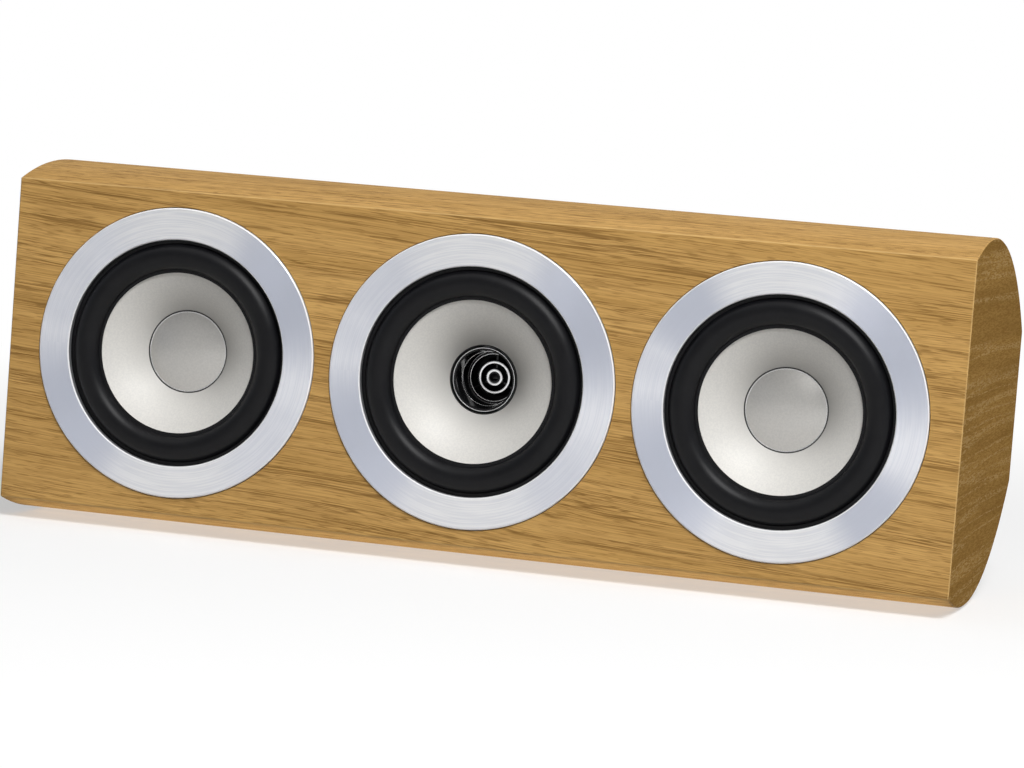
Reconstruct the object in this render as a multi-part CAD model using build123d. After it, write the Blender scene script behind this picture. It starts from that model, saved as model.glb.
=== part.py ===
from build123d import *
import math
import os

# Center channel speaker: a bowed wooden cabinet with two bass drivers and, between them, a
# dual concentric driver. Millimetres. X runs along the width, Y runs back from the front and
# Z is up. Everything is modelled with depth zero on the front face of the baffle and height
# zero on the driver axes, and is moved to the middle of its own footprint when it is written.

# Trim rings
ring_outer_radius = 64.0
ring_width = 14.0
ring_thickness = 3.0
ring_proud = 1.0
ring_chamfer = 0.5
ring_spacing = 7.7
ring_play = 0.4

# Cabinet
end_margin = 14.3
face_margin = 7.5
bow_rise = 8.0
crest_depth = 50.75
cabinet_depth = 164.0
back_half_height = 34.5
baffle_thickness = 18.0
bow_wall = 12.0
end_wall = 15.0
rear_wall = 15.0
edge_chamfer = 0.5
brace_thickness = 12.0
brace_border = 16.0
brace_window_length = 40.0
brace_window_round = 10.0

# Support feet, which level the bowed bottom
foot_inset = 64.0
foot_width = 26.0
foot_length = 66.0
foot_setback = 4.0
foot_drop = 1.0
foot_round = 3.0

# Fits that many pieces share
glue_line = 0.05
slip_fit = 0.5

# Driver chassis
flange_thickness = 3.0
flange_play = 0.6
gasket_thickness = 1.0
gasket_width = 8.0
cutout_margin = 1.5
hoop_play = 1.0
hoop_wall = 3.5
hoop_length = 9.0
arm_count = 6
arm_window_width = 30.0
window_border = 1.6
landing_width = 4.5
landing_lip = 3.5
platform_thickness = 3.0
platform_clearance = 7.0
platform_coil_margin = 2.0

# Surround
lip_overlap = 3.0
lip_thickness = 0.8
lip_play = 0.2
outer_landing = 1.5
inner_landing = 1.3
roll_width = 11.7
roll_height = 4.4

# Cones, dust caps and voice coils
cone_travel = 3.0
bass_cone_depth = 20.0
dual_cone_depth = 17.5
cone_flare = 2.0
cone_thickness = 0.9
cone_rim = 2.1
collar_length = 4.0
dust_cap_radius = 18.1
dust_cap_rise = 3.2
dust_cap_thickness = 0.8
bass_former_radius = 12.5
dual_former_radius = 14.9
former_thickness = 0.4
winding_thickness = 0.5
winding_length = 10.0
former_tail = 2.5
coil_clearance = 0.4

# Spider
spider_gap = 4.0
spider_thickness = 0.7
spider_height = 1.6
spider_waves = 4
spider_collar = 1.5

# Magnet systems
plate_radius = 36.5
plate_thickness = 5.0
magnet_radius = 39.0
magnet_thickness = 14.0
magnet_hole_margin = 4.5
yoke_thickness = 6.0
pole_vent_radius = 4.0
pole_wall = 1.7

# High-frequency unit inside the bored pole of the middle driver
horn_rim_gap = 0.7
horn_rim_setback = 0.3
horn_rim_width = 0.7
horn_throat_radius = 11.0
horn_length = 16.0
horn_step = 0.6
horn_tube_length = 10.5
horn_tube_play = 0.3
plug_setback = 1.4
plug_ring_radius = 7.2
plug_ring_wall = 0.9
plug_bullet_radius = 3.6
plug_bullet_rise = 1.6
plug_length = 6.0
plug_fin_count = 3
plug_fin_thickness = 0.8
plug_fin_depth = 3.0
diaphragm_dome_radius = 8.8
diaphragm_dome_rise = 2.4
diaphragm_thickness = 0.4
diaphragm_clamp = 0.8
diaphragm_skirt = 2.6
rear_cup_wall = 2.2
rear_cup_flange_radius = 17.0
rear_cup_flange = 3.0
hf_magnet_gap = 0.9
hf_magnet_thickness = 5.0

# Screws that hold the drivers and the terminal panel
screw_shank_radius = 1.7
screw_head_radius = 3.4
screw_head_depth = 1.8
screw_length = 13.5
screw_hole_play = 0.25
screw_sink = 0.2
driver_screw_count = 4
driver_screw_border = 4.7

# Reflex ports
port_radius = 15.0
port_wall = 2.0
port_length = 58.0
port_flare = 6.0
port_flange_width = 2.0
rear_flange = 2.5

# Terminal panel and binding posts
terminal_width = 92.0
terminal_height = 52.0
terminal_round = 6.0
terminal_border = 6.0
terminal_wall = 2.5
terminal_recess = 24.0
terminal_screw_border = 4.6
post_spacing = 19.05
post_radius = 3.0
post_socket_radius = 2.0
post_socket_depth = 13.0
post_collar_radius = 6.5
post_collar = 2.5
post_wire_hole_radius = 1.3
post_wire_hole_offset = 1.8
post_length = 19.0
post_tail = 9.0
post_nut_across = 10.0
post_nut_thickness = 3.5
cap_radius = 7.2
cap_length = 15.5
cap_gap = 0.3
cap_flutes = 12
cap_flute_radius = 1.3
cap_flute_depth = 0.7
cap_mouth_play = 0.35
insert_wall = 1.9
insert_length = 8.0
thread_play = 0.05

# Threaded inserts for a wall bracket
bracket_spacing = 170.0
bracket_thread_radius = 2.5
bracket_insert_radius = 4.5
bracket_insert_length = 12.0

# Crossover board on the left brace, its components and the leads
board_thickness = 1.6
board_standoff = 6.0
board_standoff_radius = 3.0
board_standoff_border = 5.0
board_rear_gap = 4.0
board_edge = 3.0
inductor_radius = 11.0
inductor_hole_radius = 4.5
inductor_length = 10.0
component_gap = 5.0
capacitor_radius = 5.0
capacitor_length = 20.0
lead_radius = 0.9
lead_pitch = 2.6
lead_bend = 5.0
lead_clearance = 2.0

# Damping sheets on the bottom panel
sheet_thickness = 8.0
sheet_setback = 12.0
sheet_side_gap = 2.0

# Worked-out places
ring_inner_radius = ring_outer_radius - ring_width
cone_mouth_radius = ring_inner_radius - outer_landing - roll_width - inner_landing
driver_spacing = 2 * ring_outer_radius + ring_spacing
half_width = driver_spacing + ring_outer_radius + end_margin
front_half_height = ring_outer_radius + face_margin
crest_half_height = front_half_height + bow_rise
front_bow_radius = (crest_depth**2 + bow_rise**2) / (2 * bow_rise)
rear_run = cabinet_depth - crest_depth
rear_drop = crest_half_height - back_half_height
rear_bow_radius = (rear_run**2 + rear_drop**2) / (2 * rear_drop)
inner_half_width = half_width - end_wall
rear_inner_depth = cabinet_depth - rear_wall
rear_face_depth = cabinet_depth + rear_flange
brace_x = driver_spacing / 2

ring_back = ring_thickness - ring_proud
flange_back = ring_back + flange_thickness
recess_floor = flange_back + gasket_thickness
recess_radius = ring_outer_radius + ring_play
flange_radius = ring_outer_radius - flange_play
cutout_radius = ring_inner_radius + cutout_margin
hoop_radius = cutout_radius - hoop_play
lip_front = ring_back + lip_play
lip_back = lip_front + lip_thickness
lip_radius = ring_inner_radius + lip_overlap
spider_edge = plate_radius - landing_lip - slip_fit
driver_screw_circle = flange_radius - driver_screw_border
terminal_screw_x = terminal_width / 2 - terminal_screw_border
terminal_screw_z = terminal_height / 2 - terminal_screw_border
post_floor = rear_face_depth - terminal_recess
post_end = post_floor + post_length
cap_start = post_floor + post_collar + cap_gap
lead_strip = 2 * lead_pitch
board_rear = post_floor - terminal_wall - board_rear_gap
capacitor_depth = board_rear - board_edge - capacitor_length / 2
post_lead_depth = capacitor_depth - capacitor_length / 2 - lead_strip / 2
inductor_depth = post_lead_depth - lead_strip / 2 - inductor_radius
driver_lead_depth = inductor_depth - inductor_radius - lead_strip / 2
board_front = driver_lead_depth - lead_strip / 2
board_half_height = component_gap / 2 + 2 * inductor_radius + board_edge
board_face_x = -brace_x + brace_thickness / 2 + board_standoff + board_thickness
lead_turn_x = (board_face_x - plate_radius) / 2
crossing_drop = rear_cup_flange_radius + lead_clearance + lead_radius + lead_pitch / 2

front_limit = min(-ring_proud, lip_front - roll_height)
middle_depth = (front_limit + rear_face_depth) / 2
axis_height = crest_half_height + foot_drop


def outline(*steps):
    """Closed face from corner points; a step of two points is an arc through the first."""
    edges = []
    here = steps[0]
    for step in steps[1:] + steps[:1]:
        if isinstance(step[0], tuple):
            edges.append(ThreePointArc(here, step[0], step[1]))
            here = step[1]
        else:
            edges.append(Line(here, step))
            here = step
    return make_face(edges)


def turned(*steps):
    """Solid turned about the driver axis; each point is a radius and a depth."""
    return revolve(outline(*steps), Axis.Y)


def tube(inner_radius, outer_radius, front, back):
    """Plain ring or tube about the driver axis."""
    return turned((inner_radius, front), (outer_radius, front), (outer_radius, back), (inner_radius, back))


def dome_step(radius, rim, apex):
    """Arc of a shallow dome from its apex on the axis to its rim."""
    rise = rim - apex
    dome_radius = (radius**2 + rise**2) / (2 * rise)
    half = radius / 2
    return ((half, apex + dome_radius - math.sqrt(dome_radius**2 - half**2)), (radius, rim))


def disc(radius, front, back):
    """Plain disc or rod about the driver axis."""
    return tube(0, radius, front, back)


def around(count, solid, start=0.0):
    """Copies of a solid spaced evenly about the driver axis."""
    return [Rot(0, start + 360 * i / count, 0) * solid for i in range(count)]


def group(solids):
    """Separate solids as one node."""
    return Part() + list(solids)


def block(x_range, y_range, z_range):
    """Box between pairs of limits."""
    sizes = [high - low for low, high in (x_range, y_range, z_range)]
    centre = [(low + high) / 2 for low, high in (x_range, y_range, z_range)]
    return Pos(*centre) * Box(*sizes)


# Cabinet

def half_height(depth, inset=0.0):
    """Height of the bowed outline above the driver axis, with the wall inset."""
    radius = front_bow_radius if depth < crest_depth else rear_bow_radius
    centre = crest_half_height - radius
    return centre + math.sqrt((radius - inset) ** 2 - (depth - crest_depth) ** 2)


def bow_steps(start, end, side, inset=0.0):
    """Arcs of the bowed outline from one depth to another, on the upper or lower side."""
    stops = [start, end]
    if min(stops) < crest_depth < max(stops):
        stops.insert(1, crest_depth)
    steps = []
    for here, there in zip(stops, stops[1:]):
        between = (here + there) / 2
        nudge = min(between, crest_depth) if max(here, there) <= crest_depth else between
        steps.append(((nudge, side * half_height(nudge, inset)), (there, side * half_height(there, inset))))
    return steps


def bowed_slab(x_range, y_range, inset=0.0):
    """Slab with the cabinet's bowed end outline between two depths."""
    front, back = y_range
    face = outline(
        (front, half_height(front, inset)),
        *bow_steps(front, back, 1, inset),
        (back, -half_height(back, inset)),
        *bow_steps(back, front, -1, inset),
    )
    slab = extrude(Plane.YZ * face, x_range[1] - x_range[0])
    return Pos(x_range[0], 0, 0) * slab


def bow_band(x_range, y_range, side, inset, thickness):
    """Curved sheet that follows the bow, at an inset from the outside."""
    front, back = y_range
    inner = inset + thickness
    face = outline(
        (front, side * half_height(front, inset)),
        *bow_steps(front, back, side, inset),
        (back, side * half_height(back, inner)),
        *bow_steps(back, front, side, inner),
    )
    return Pos(x_range[0], 0, 0) * extrude(Plane.YZ * face, x_range[1] - x_range[0])


def cabinet_envelope():
    """Outside of the whole cabinet with its edges eased."""
    slab = bowed_slab((-half_width, half_width), (0, cabinet_depth))
    return chamfer(slab.edges(), edge_chamfer)


def screw_hole(depth_range):
    """Pilot hole for a screw along the depth."""
    return disc(screw_shank_radius + glue_line, *depth_range)


def front_baffle(envelope):
    """Baffle with a stepped opening and screw holes for each driver."""
    beyond = 2 * half_width
    plate = envelope & block((-beyond, beyond), (-beyond, baffle_thickness), (-beyond, beyond))
    opening = disc(recess_radius, -ring_proud, recess_floor) + disc(cutout_radius, 0, baffle_thickness)
    hole = Pos(driver_screw_circle, 0, 0) * screw_hole((recess_floor, baffle_thickness))
    for x in driver_places:
        plate -= Pos(x, 0, 0) * opening
        plate -= [Pos(x, 0, 0) * cut for cut in around(driver_screw_count, hole, 45)]
    return plate


def end_panel(envelope, side):
    """Flat end of the cabinet behind the baffle."""
    beyond = 2 * half_width
    x_range = sorted((side * inner_half_width, side * beyond))
    return envelope & block(x_range, (baffle_thickness, beyond), (-beyond, beyond))


def bow_panel(envelope, side):
    """Bowed top or bottom between the end panels, baffle and rear panel."""
    width = (-inner_half_width, inner_half_width)
    depth = (baffle_thickness, rear_inner_depth)
    return bow_band(width, depth, side, 0, bow_wall) & envelope


def rear_panel(envelope):
    """Rear panel with holes for the ports, terminal panel, inserts and screws."""
    beyond = 2 * half_width
    x_range = (-inner_half_width, inner_half_width)
    plate = envelope & block(x_range, (rear_inner_depth, beyond), (-beyond, beyond))
    depth = (rear_inner_depth, cabinet_depth)
    port_hole = disc(port_radius + port_wall + slip_fit, *depth)
    insert_front = cabinet_depth - bracket_insert_length
    insert_hole = disc(bracket_insert_radius + glue_line, insert_front, cabinet_depth)
    for side in (-1, 1):
        plate -= Pos(side * driver_spacing, 0, 0) * port_hole
        plate -= Pos(side * bracket_spacing / 2, 0, 0) * insert_hole
        for end in (-1, 1):
            place = Pos(side * terminal_screw_x, 0, end * terminal_screw_z)
            plate -= place * screw_hole(depth)
    cup_play = terminal_border - slip_fit
    return plate - terminal_block(cup_play, depth)


def brace(x):
    """Inner brace, a bowed plate with a window that the air and leads pass through."""
    x_range = (x - brace_thickness / 2, x + brace_thickness / 2)
    plate = bowed_slab(x_range, (baffle_thickness, rear_inner_depth), bow_wall)
    window_middle = baffle_thickness + brace_border + brace_window_length / 2
    window_height = 2 * (half_height(window_middle, bow_wall) - brace_border)
    face = RectangleRounded(brace_window_length, window_height, brace_window_round)
    window = extrude(Plane.YZ * Pos(window_middle, 0) * face, brace_thickness)
    return plate - Pos(x_range[0], 0, 0) * window


def support_foot(side):
    """Moulded foot whose top follows the bowed bottom and whose underside is level."""
    front = crest_depth + foot_setback
    back = front + foot_length
    floor = -axis_height
    face = outline(
        (front, floor),
        (front, -half_height(front) - glue_line),
        *[((a, b - glue_line), (c, d - glue_line)) for (a, b), (c, d) in bow_steps(front, back, -1)],
        (back, floor),
    )
    middle = side * (half_width - foot_inset)
    foot = Pos(middle - foot_width / 2, 0, 0) * extrude(Plane.YZ * face, foot_width)
    upright = foot.edges().filter_by(Axis.Z).sort_by(Axis.Y)[-2:]
    return fillet(upright, foot_round)


# Drivers

class Cone:
    """Flared cone profile shared by the cone, its dust cap and its voice coil."""

    def __init__(self, depth, former_radius):
        self.former_radius = former_radius
        self.former_outer = former_radius + former_thickness
        self.neck_radius = self.former_outer + glue_line
        self.mouth_depth = lip_back
        self.neck_depth = self.mouth_depth + depth
        run = cone_mouth_radius - self.neck_radius
        chord = math.hypot(run, depth)
        self.arc_radius = ((chord / 2) ** 2 + cone_flare**2) / (2 * cone_flare)
        behind = self.arc_radius - cone_flare
        self.centre_radius = (cone_mouth_radius + self.neck_radius) / 2 + behind * depth / chord
        self.centre_depth = self.mouth_depth + depth / 2 + behind * run / chord
        self.spider_depth = self.neck_depth + collar_length + spider_gap
        self.platform_depth = self.spider_depth + platform_clearance
        self.plate_depth = self.platform_depth + platform_thickness
        self.magnet_depth = self.plate_depth + plate_thickness
        self.yoke_depth = self.magnet_depth + magnet_thickness
        self.winding_radius = self.former_outer + winding_thickness
        self.pole_radius = former_radius - coil_clearance
        self.gap_radius = self.winding_radius + coil_clearance

    def front_at(self, radius, behind=0.0):
        """Depth of the cone's front face at a radius, or of a face behind it."""
        across = self.centre_radius - radius
        return self.centre_depth - math.sqrt((self.arc_radius - behind) ** 2 - across**2)

    def radius_at(self, depth, behind=0.0):
        """Radius of the cone's front face at a depth, or of a face behind it."""
        across = self.centre_depth - depth
        return self.centre_radius - math.sqrt((self.arc_radius - behind) ** 2 - across**2)


def trim_ring():
    """Flat metal ring with eased front edges."""
    front = -ring_proud
    return turned(
        (ring_inner_radius + ring_chamfer, front),
        (ring_outer_radius - ring_chamfer, front),
        (ring_outer_radius, front + ring_chamfer),
        (ring_outer_radius, ring_back),
        (ring_inner_radius, ring_back),
        (ring_inner_radius, front + ring_chamfer),
    )


def driver_gasket():
    """Foam ring between a driver's flange and the baffle."""
    ring = tube(flange_radius - gasket_width, flange_radius, flange_back, recess_floor)
    hole = Pos(driver_screw_circle, 0, 0) * screw_hole((flange_back, recess_floor))
    return ring - around(driver_screw_count, hole, 45)


def mounting_screw(head_face):
    """Countersunk screw along the depth with its head towards the front."""
    return turned(
        (0, head_face),
        (screw_head_radius, head_face),
        (screw_shank_radius, head_face + screw_head_depth),
        (screw_shank_radius, head_face + screw_length),
        (0, head_face + screw_length),
    )


def countersink(face):
    """Hole that lets a countersunk screw pass and sink below a face."""
    head = screw_head_radius + screw_hole_play
    shank = screw_shank_radius + screw_hole_play
    top = face + screw_sink
    return turned(
        (0, face),
        (head, face),
        (head, top),
        (shank, top + screw_head_depth),
        (shank, top + screw_length),
        (0, top + screw_length),
    )


def basket(cone):
    """Cast chassis: flange, hoop, arms, spider landing and motor platform."""
    seat_radius = lip_radius + slip_fit
    hoop_inner = hoop_radius - hoop_wall
    hoop_end = lip_back + hoop_length
    wall_inner = spider_edge + slip_fit
    wall_outer = wall_inner + landing_lip
    inside = spider_edge - landing_width
    landing = cone.spider_depth
    casting = turned(
        (hoop_inner, lip_back),
        (seat_radius, lip_back),
        (seat_radius, ring_back),
        (flange_radius, ring_back),
        (flange_radius, flange_back),
        (hoop_radius, flange_back),
        (hoop_radius, hoop_end),
        (wall_outer, landing),
        (wall_outer, cone.plate_depth),
        (cone.gap_radius + platform_coil_margin, cone.plate_depth),
        (cone.gap_radius + platform_coil_margin, cone.platform_depth),
        (inside, cone.platform_depth),
        (inside, landing),
        (wall_inner, landing),
        (wall_inner, landing - spider_thickness),
        (hoop_inner, hoop_end),
    )
    y_range = (hoop_end + window_border, landing - spider_height - window_border)
    window = block((-arm_window_width / 2, arm_window_width / 2), y_range, (inside, flange_radius))
    sunk = Pos(driver_screw_circle, 0, 0) * countersink(ring_back)
    return casting - around(arm_count, window) - around(driver_screw_count, sunk, 45)


def surround():
    """Half-roll rubber surround with a lip on the chassis and a lip on the cone."""
    outer = ring_inner_radius - outer_landing
    inner = cone_mouth_radius + inner_landing
    crest = (outer + inner) / 2
    apex = lip_front - roll_height
    return turned(
        (lip_radius, lip_front),
        (outer, lip_front),
        ((crest, apex), (inner, lip_front)),
        (cone_mouth_radius, lip_front),
        (cone_mouth_radius, lip_back),
        (inner + lip_thickness, lip_back),
        ((crest, apex + lip_thickness), (outer - lip_thickness, lip_back)),
        (lip_radius, lip_back),
    )


def cone_shell(cone):
    """Flared cone with a rim under the surround and a collar on the former."""
    rim_radius = cone_mouth_radius + cone_rim
    rim_back = cone.mouth_depth + cone_thickness
    collar_end = cone.neck_depth + collar_length
    collar_outer = cone.neck_radius + cone_thickness
    middle_radius = (cone_mouth_radius + cone.neck_radius) / 2
    return turned(
        (cone_mouth_radius, cone.mouth_depth),
        ((middle_radius, cone.front_at(middle_radius)), (cone.neck_radius, cone.neck_depth)),
        (cone.neck_radius, collar_end),
        (collar_outer, collar_end),
        (collar_outer, cone.front_at(collar_outer, cone_thickness)),
        (
            (middle_radius, cone.front_at(middle_radius, cone_thickness)),
            (cone.radius_at(rim_back, cone_thickness), rim_back),
        ),
        (rim_radius, rim_back),
        (rim_radius, cone.mouth_depth),
    )


def dust_cap(cone):
    """Shallow dome glued to the front of the cone."""
    foot_radius = dust_cap_radius - dust_cap_thickness
    rim = cone.front_at(dust_cap_radius) - glue_line
    foot = cone.front_at(foot_radius) - glue_line
    apex = rim - dust_cap_rise
    inner_apex = apex + dust_cap_thickness
    inner_middle = dome_step(foot_radius, foot, inner_apex)[0]
    return turned(
        (0, apex),
        dome_step(dust_cap_radius, rim, apex),
        (foot_radius, foot),
        (inner_middle, (0, inner_apex)),
    )


def voice_coil(cone):
    """Former with its winding centred in the magnet gap."""
    winding_front = cone.plate_depth + (plate_thickness - winding_length) / 2
    winding_back = winding_front + winding_length
    return turned(
        (cone.former_radius, cone.neck_depth),
        (cone.former_outer, cone.neck_depth),
        (cone.former_outer, winding_front),
        (cone.winding_radius, winding_front),
        (cone.winding_radius, winding_back),
        (cone.former_outer, winding_back),
        (cone.former_outer, winding_back + former_tail),
        (cone.former_radius, winding_back + former_tail),
    )


def spider(cone):
    """Corrugated disc between the former and the chassis landing."""
    inner = cone.former_outer + glue_line
    outer = spider_edge
    flat = cone.spider_depth - spider_thickness
    first = inner + spider_collar
    last = outer - landing_width
    pitch = (last - first) / spider_waves
    front = [(inner, flat), (first, flat)]
    for wave in range(spider_waves):
        start = first + wave * pitch
        front += [(start + pitch / 2, flat - spider_height), (start + pitch, flat)]
    front.append((outer, flat))
    back = [(radius, depth + spider_thickness) for radius, depth in reversed(front)]
    return turned(*front, *back)


def top_plate(cone):
    """Front plate of the magnet system."""
    return tube(cone.gap_radius, plate_radius, cone.plate_depth, cone.magnet_depth)


def ring_magnet(cone):
    """Ring magnet between the top plate and the yoke."""
    hole = cone.gap_radius + magnet_hole_margin
    return tube(hole, magnet_radius, cone.magnet_depth, cone.yoke_depth)


def yoke(cone, bore):
    """Back plate with the pole, bored through along the axis."""
    back = cone.yoke_depth + yoke_thickness
    return turned(
        (bore, cone.plate_depth),
        (cone.pole_radius, cone.plate_depth),
        (cone.pole_radius, cone.yoke_depth),
        (plate_radius, cone.yoke_depth),
        (plate_radius, back),
        (bore, back),
    )


# High-frequency unit, worked out from the middle driver's cone
bass_cone = Cone(bass_cone_depth, bass_former_radius)
dual_cone = Cone(dual_cone_depth, dual_former_radius)
dual_bore = dual_cone.pole_radius - pole_wall
horn_rim_depth = dual_cone.neck_depth + horn_rim_setback
horn_rim_radius = dual_cone.former_radius - horn_rim_gap
horn_step_depth = horn_rim_depth + horn_length
horn_tube_radius = dual_bore - horn_tube_play
horn_bore_radius = horn_throat_radius - horn_step
horn_end = horn_step_depth + horn_tube_length
clamp_end = horn_end + diaphragm_clamp
cup_end = dual_cone.yoke_depth + yoke_thickness
driver_places = (-driver_spacing, 0.0, driver_spacing)


def hf_waveguide():
    """Glossy horn with a rounded rim that tapers to the throat inside the pole."""
    rim_inner = horn_rim_radius - 2 * horn_rim_width
    rim_round = horn_rim_depth + horn_rim_width
    return turned(
        (rim_inner, rim_round),
        ((horn_rim_radius - horn_rim_width, horn_rim_depth), (horn_rim_radius, rim_round)),
        (horn_rim_radius, rim_round + horn_rim_width),
        (horn_tube_radius, dual_cone.plate_depth - cone_travel),
        (horn_tube_radius, horn_end),
        (horn_bore_radius, horn_end),
        (horn_bore_radius, horn_step_depth),
        (horn_throat_radius, horn_step_depth),
    )


def hf_phase_plug():
    """Bullet and ring held in the throat by thin fins."""
    front = horn_step_depth + plug_setback
    back = front + plug_length
    ring = tube(plug_ring_radius - plug_ring_wall, plug_ring_radius, front, back)
    bullet = turned(
        (0, front - plug_bullet_rise),
        (plug_bullet_radius / 2, front - plug_bullet_rise / 2),
        (plug_bullet_radius / 2, front),
        (plug_bullet_radius, front),
        (plug_bullet_radius, back),
        (0, back),
    )
    reach = horn_bore_radius - glue_line
    half_fin = plug_fin_thickness / 2
    fin = block((-half_fin, half_fin), (back - plug_fin_depth, back), (0, 2 * reach))
    fins = (Part() + around(plug_fin_count, fin)) & disc(reach, front, back)
    return ring + bullet + fins


def hf_diaphragm():
    """Thin dome with a short skirt for its coil and a clamped edge."""
    apex = horn_end - diaphragm_dome_rise
    inner = diaphragm_dome_radius - diaphragm_thickness
    inner_rim = horn_end + diaphragm_thickness
    inner_apex = apex + diaphragm_thickness
    inner_middle = dome_step(inner, inner_rim, inner_apex)[0]
    return turned(
        (0, apex),
        dome_step(diaphragm_dome_radius, horn_end, apex),
        (horn_tube_radius, horn_end),
        (horn_tube_radius, clamp_end),
        (diaphragm_dome_radius, clamp_end),
        (diaphragm_dome_radius, clamp_end + diaphragm_skirt),
        (inner, clamp_end + diaphragm_skirt),
        (inner, inner_rim),
        (inner_middle, (0, inner_apex)),
    )


def hf_rear_cup():
    """Steel cup in the pole's bore, flanged on the back of the yoke."""
    inside = horn_tube_radius - rear_cup_wall
    floor = clamp_end + diaphragm_skirt + hf_magnet_thickness
    return turned(
        (inside, clamp_end),
        (horn_tube_radius, clamp_end),
        (horn_tube_radius, cup_end),
        (rear_cup_flange_radius, cup_end),
        (rear_cup_flange_radius, cup_end + rear_cup_flange),
        (0, cup_end + rear_cup_flange),
        (0, floor),
        (inside, floor),
    )


def hf_magnet():
    """Disc magnet on the floor of the rear cup."""
    floor = clamp_end + diaphragm_skirt + hf_magnet_thickness
    radius = diaphragm_dome_radius - diaphragm_thickness - hf_magnet_gap
    return disc(radius, floor - hf_magnet_thickness, floor)


# Rear of the cabinet

def terminal_block(border, depth_range, wall=0.0):
    """Rounded block of the terminal panel's outline less a border."""
    front, back = depth_range
    inset = 2 * (border + wall)
    corner = max(terminal_round - wall, wall)
    face = RectangleRounded(terminal_width - inset, terminal_height - inset, corner)
    block_plane = Plane(origin=(0, front, 0), x_dir=(1, 0, 0), z_dir=(0, 1, 0))
    return extrude(block_plane * face, back - front)


def terminal_panel():
    """Moulded recess with a flange on the rear panel and a floor that carries the posts."""
    panel = terminal_block(0, (cabinet_depth, rear_face_depth))
    panel += terminal_block(terminal_border, (post_floor - terminal_wall, cabinet_depth))
    panel -= terminal_block(terminal_border, (post_floor, rear_face_depth), terminal_wall)
    for side in (-1, 1):
        hole = disc(post_radius + glue_line, post_floor - terminal_wall, post_floor)
        panel -= Pos(side * post_spacing / 2, 0, 0) * hole
        for end in (-1, 1):
            sunk = Pos(0, rear_face_depth, 0) * Rot(0, 0, 180) * countersink(0)
            panel -= Pos(side * terminal_screw_x, 0, end * terminal_screw_z) * sunk
    return panel


def binding_post(x):
    """Fixed post with a plug socket, a wire hole, a collar and a nut behind the panel."""
    tail_end = post_floor - terminal_wall - post_tail
    collar_end = post_floor + post_collar
    post = turned(
        (0, tail_end),
        (post_radius, tail_end),
        (post_radius, post_floor),
        (post_collar_radius, post_floor),
        (post_collar_radius, collar_end),
        (post_radius, collar_end),
        (post_radius, post_end),
        (post_socket_radius, post_end),
        (post_socket_radius, post_end - post_socket_depth),
        (0, post_end - post_socket_depth),
    )
    wire_hole = Cylinder(post_wire_hole_radius, 4 * post_radius)
    post -= Pos(0, collar_end + post_wire_hole_offset, 0) * wire_hole
    nut_plane = Plane(origin=(0, post_floor - terminal_wall, 0), x_dir=(1, 0, 0), z_dir=(0, -1, 0))
    nut = extrude(nut_plane * RegularPolygon(post_nut_across / 2, 6, major_radius=False), post_nut_thickness)
    nut -= disc(post_radius + glue_line, tail_end, post_floor)
    return [Pos(x, 0, 0) * solid for solid in (post, nut)]


def post_insert(x):
    """Threaded brass insert inside a post cap."""
    bore = post_radius + thread_play
    return Pos(x, 0, 0) * tube(bore, bore + insert_wall, cap_start, cap_start + insert_length)


def post_cap(x):
    """Fluted cap that turns on the post and leaves the plug socket open."""
    insert_hole = post_radius + thread_play + insert_wall + thread_play
    mouth = post_radius + cap_mouth_play
    end = cap_start + cap_length
    cap = turned(
        (insert_hole, cap_start),
        (cap_radius, cap_start),
        (cap_radius, end - cap_flute_depth),
        (cap_radius - cap_flute_depth, end),
        (mouth, end),
        (mouth, cap_start + insert_length + thread_play),
        (insert_hole, cap_start + insert_length + thread_play),
    )
    groove_radius = cap_radius - cap_flute_depth + cap_flute_radius
    groove = Pos(groove_radius, 0, 0) * disc(cap_flute_radius, cap_start + post_collar, end)
    return Pos(x, 0, 0) * (cap - around(cap_flutes, groove))


def port_tube(x):
    """Reflex port with a flared mouth and a flange on the rear panel."""
    front = rear_face_depth - port_length
    outer = port_radius + port_wall
    lip = port_radius + port_flare
    bend = port_flare * (1 - math.sqrt(0.5))
    flared = turned(
        (port_radius, front),
        (outer, front),
        (outer, cabinet_depth),
        (lip + port_flange_width, cabinet_depth),
        (lip + port_flange_width, rear_face_depth),
        (lip, rear_face_depth),
        ((port_radius + bend, rear_face_depth - bend), (port_radius, rear_face_depth - port_flare)),
    )
    return Pos(x, 0, 0) * flared


def bracket_insert(x):
    """Threaded insert for a wall bracket, flush with the rear panel."""
    front = cabinet_depth - bracket_insert_length
    return Pos(x, 0, 0) * tube(bracket_thread_radius, bracket_insert_radius, front, cabinet_depth)


# Crossover and leads

def crossover_board():
    """Board on four stand-offs on the face of the left brace."""
    x_range = (board_face_x - board_thickness, board_face_x)
    board = block(x_range, (board_front, board_rear), (-board_half_height, board_half_height))
    standoff = Rot(0, 90, 0) * Cylinder(board_standoff_radius, board_standoff)
    x = board_face_x - board_thickness - board_standoff / 2
    for depth in (board_front + board_standoff_border, board_rear - board_standoff_border):
        for side in (-1, 1):
            height = side * (board_half_height - board_standoff_border)
            board += Pos(x, depth, height) * standoff
    return board


def crossover_inductor(side):
    """Air-core coil standing on the board."""
    coil = Cylinder(inductor_radius, inductor_length) - Cylinder(inductor_hole_radius, inductor_length)
    height = side * (component_gap / 2 + inductor_radius)
    return Pos(board_face_x + inductor_length / 2, inductor_depth, height) * Rot(0, 90, 0) * coil


def crossover_capacitor(row):
    """Round capacitor lying on the board."""
    x = board_face_x + capacitor_radius + glue_line
    height = row * (2 * capacitor_radius + component_gap)
    return Pos(x, capacitor_depth, height) * Rot(90, 0, 0) * Cylinder(capacitor_radius, capacitor_length)


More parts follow.
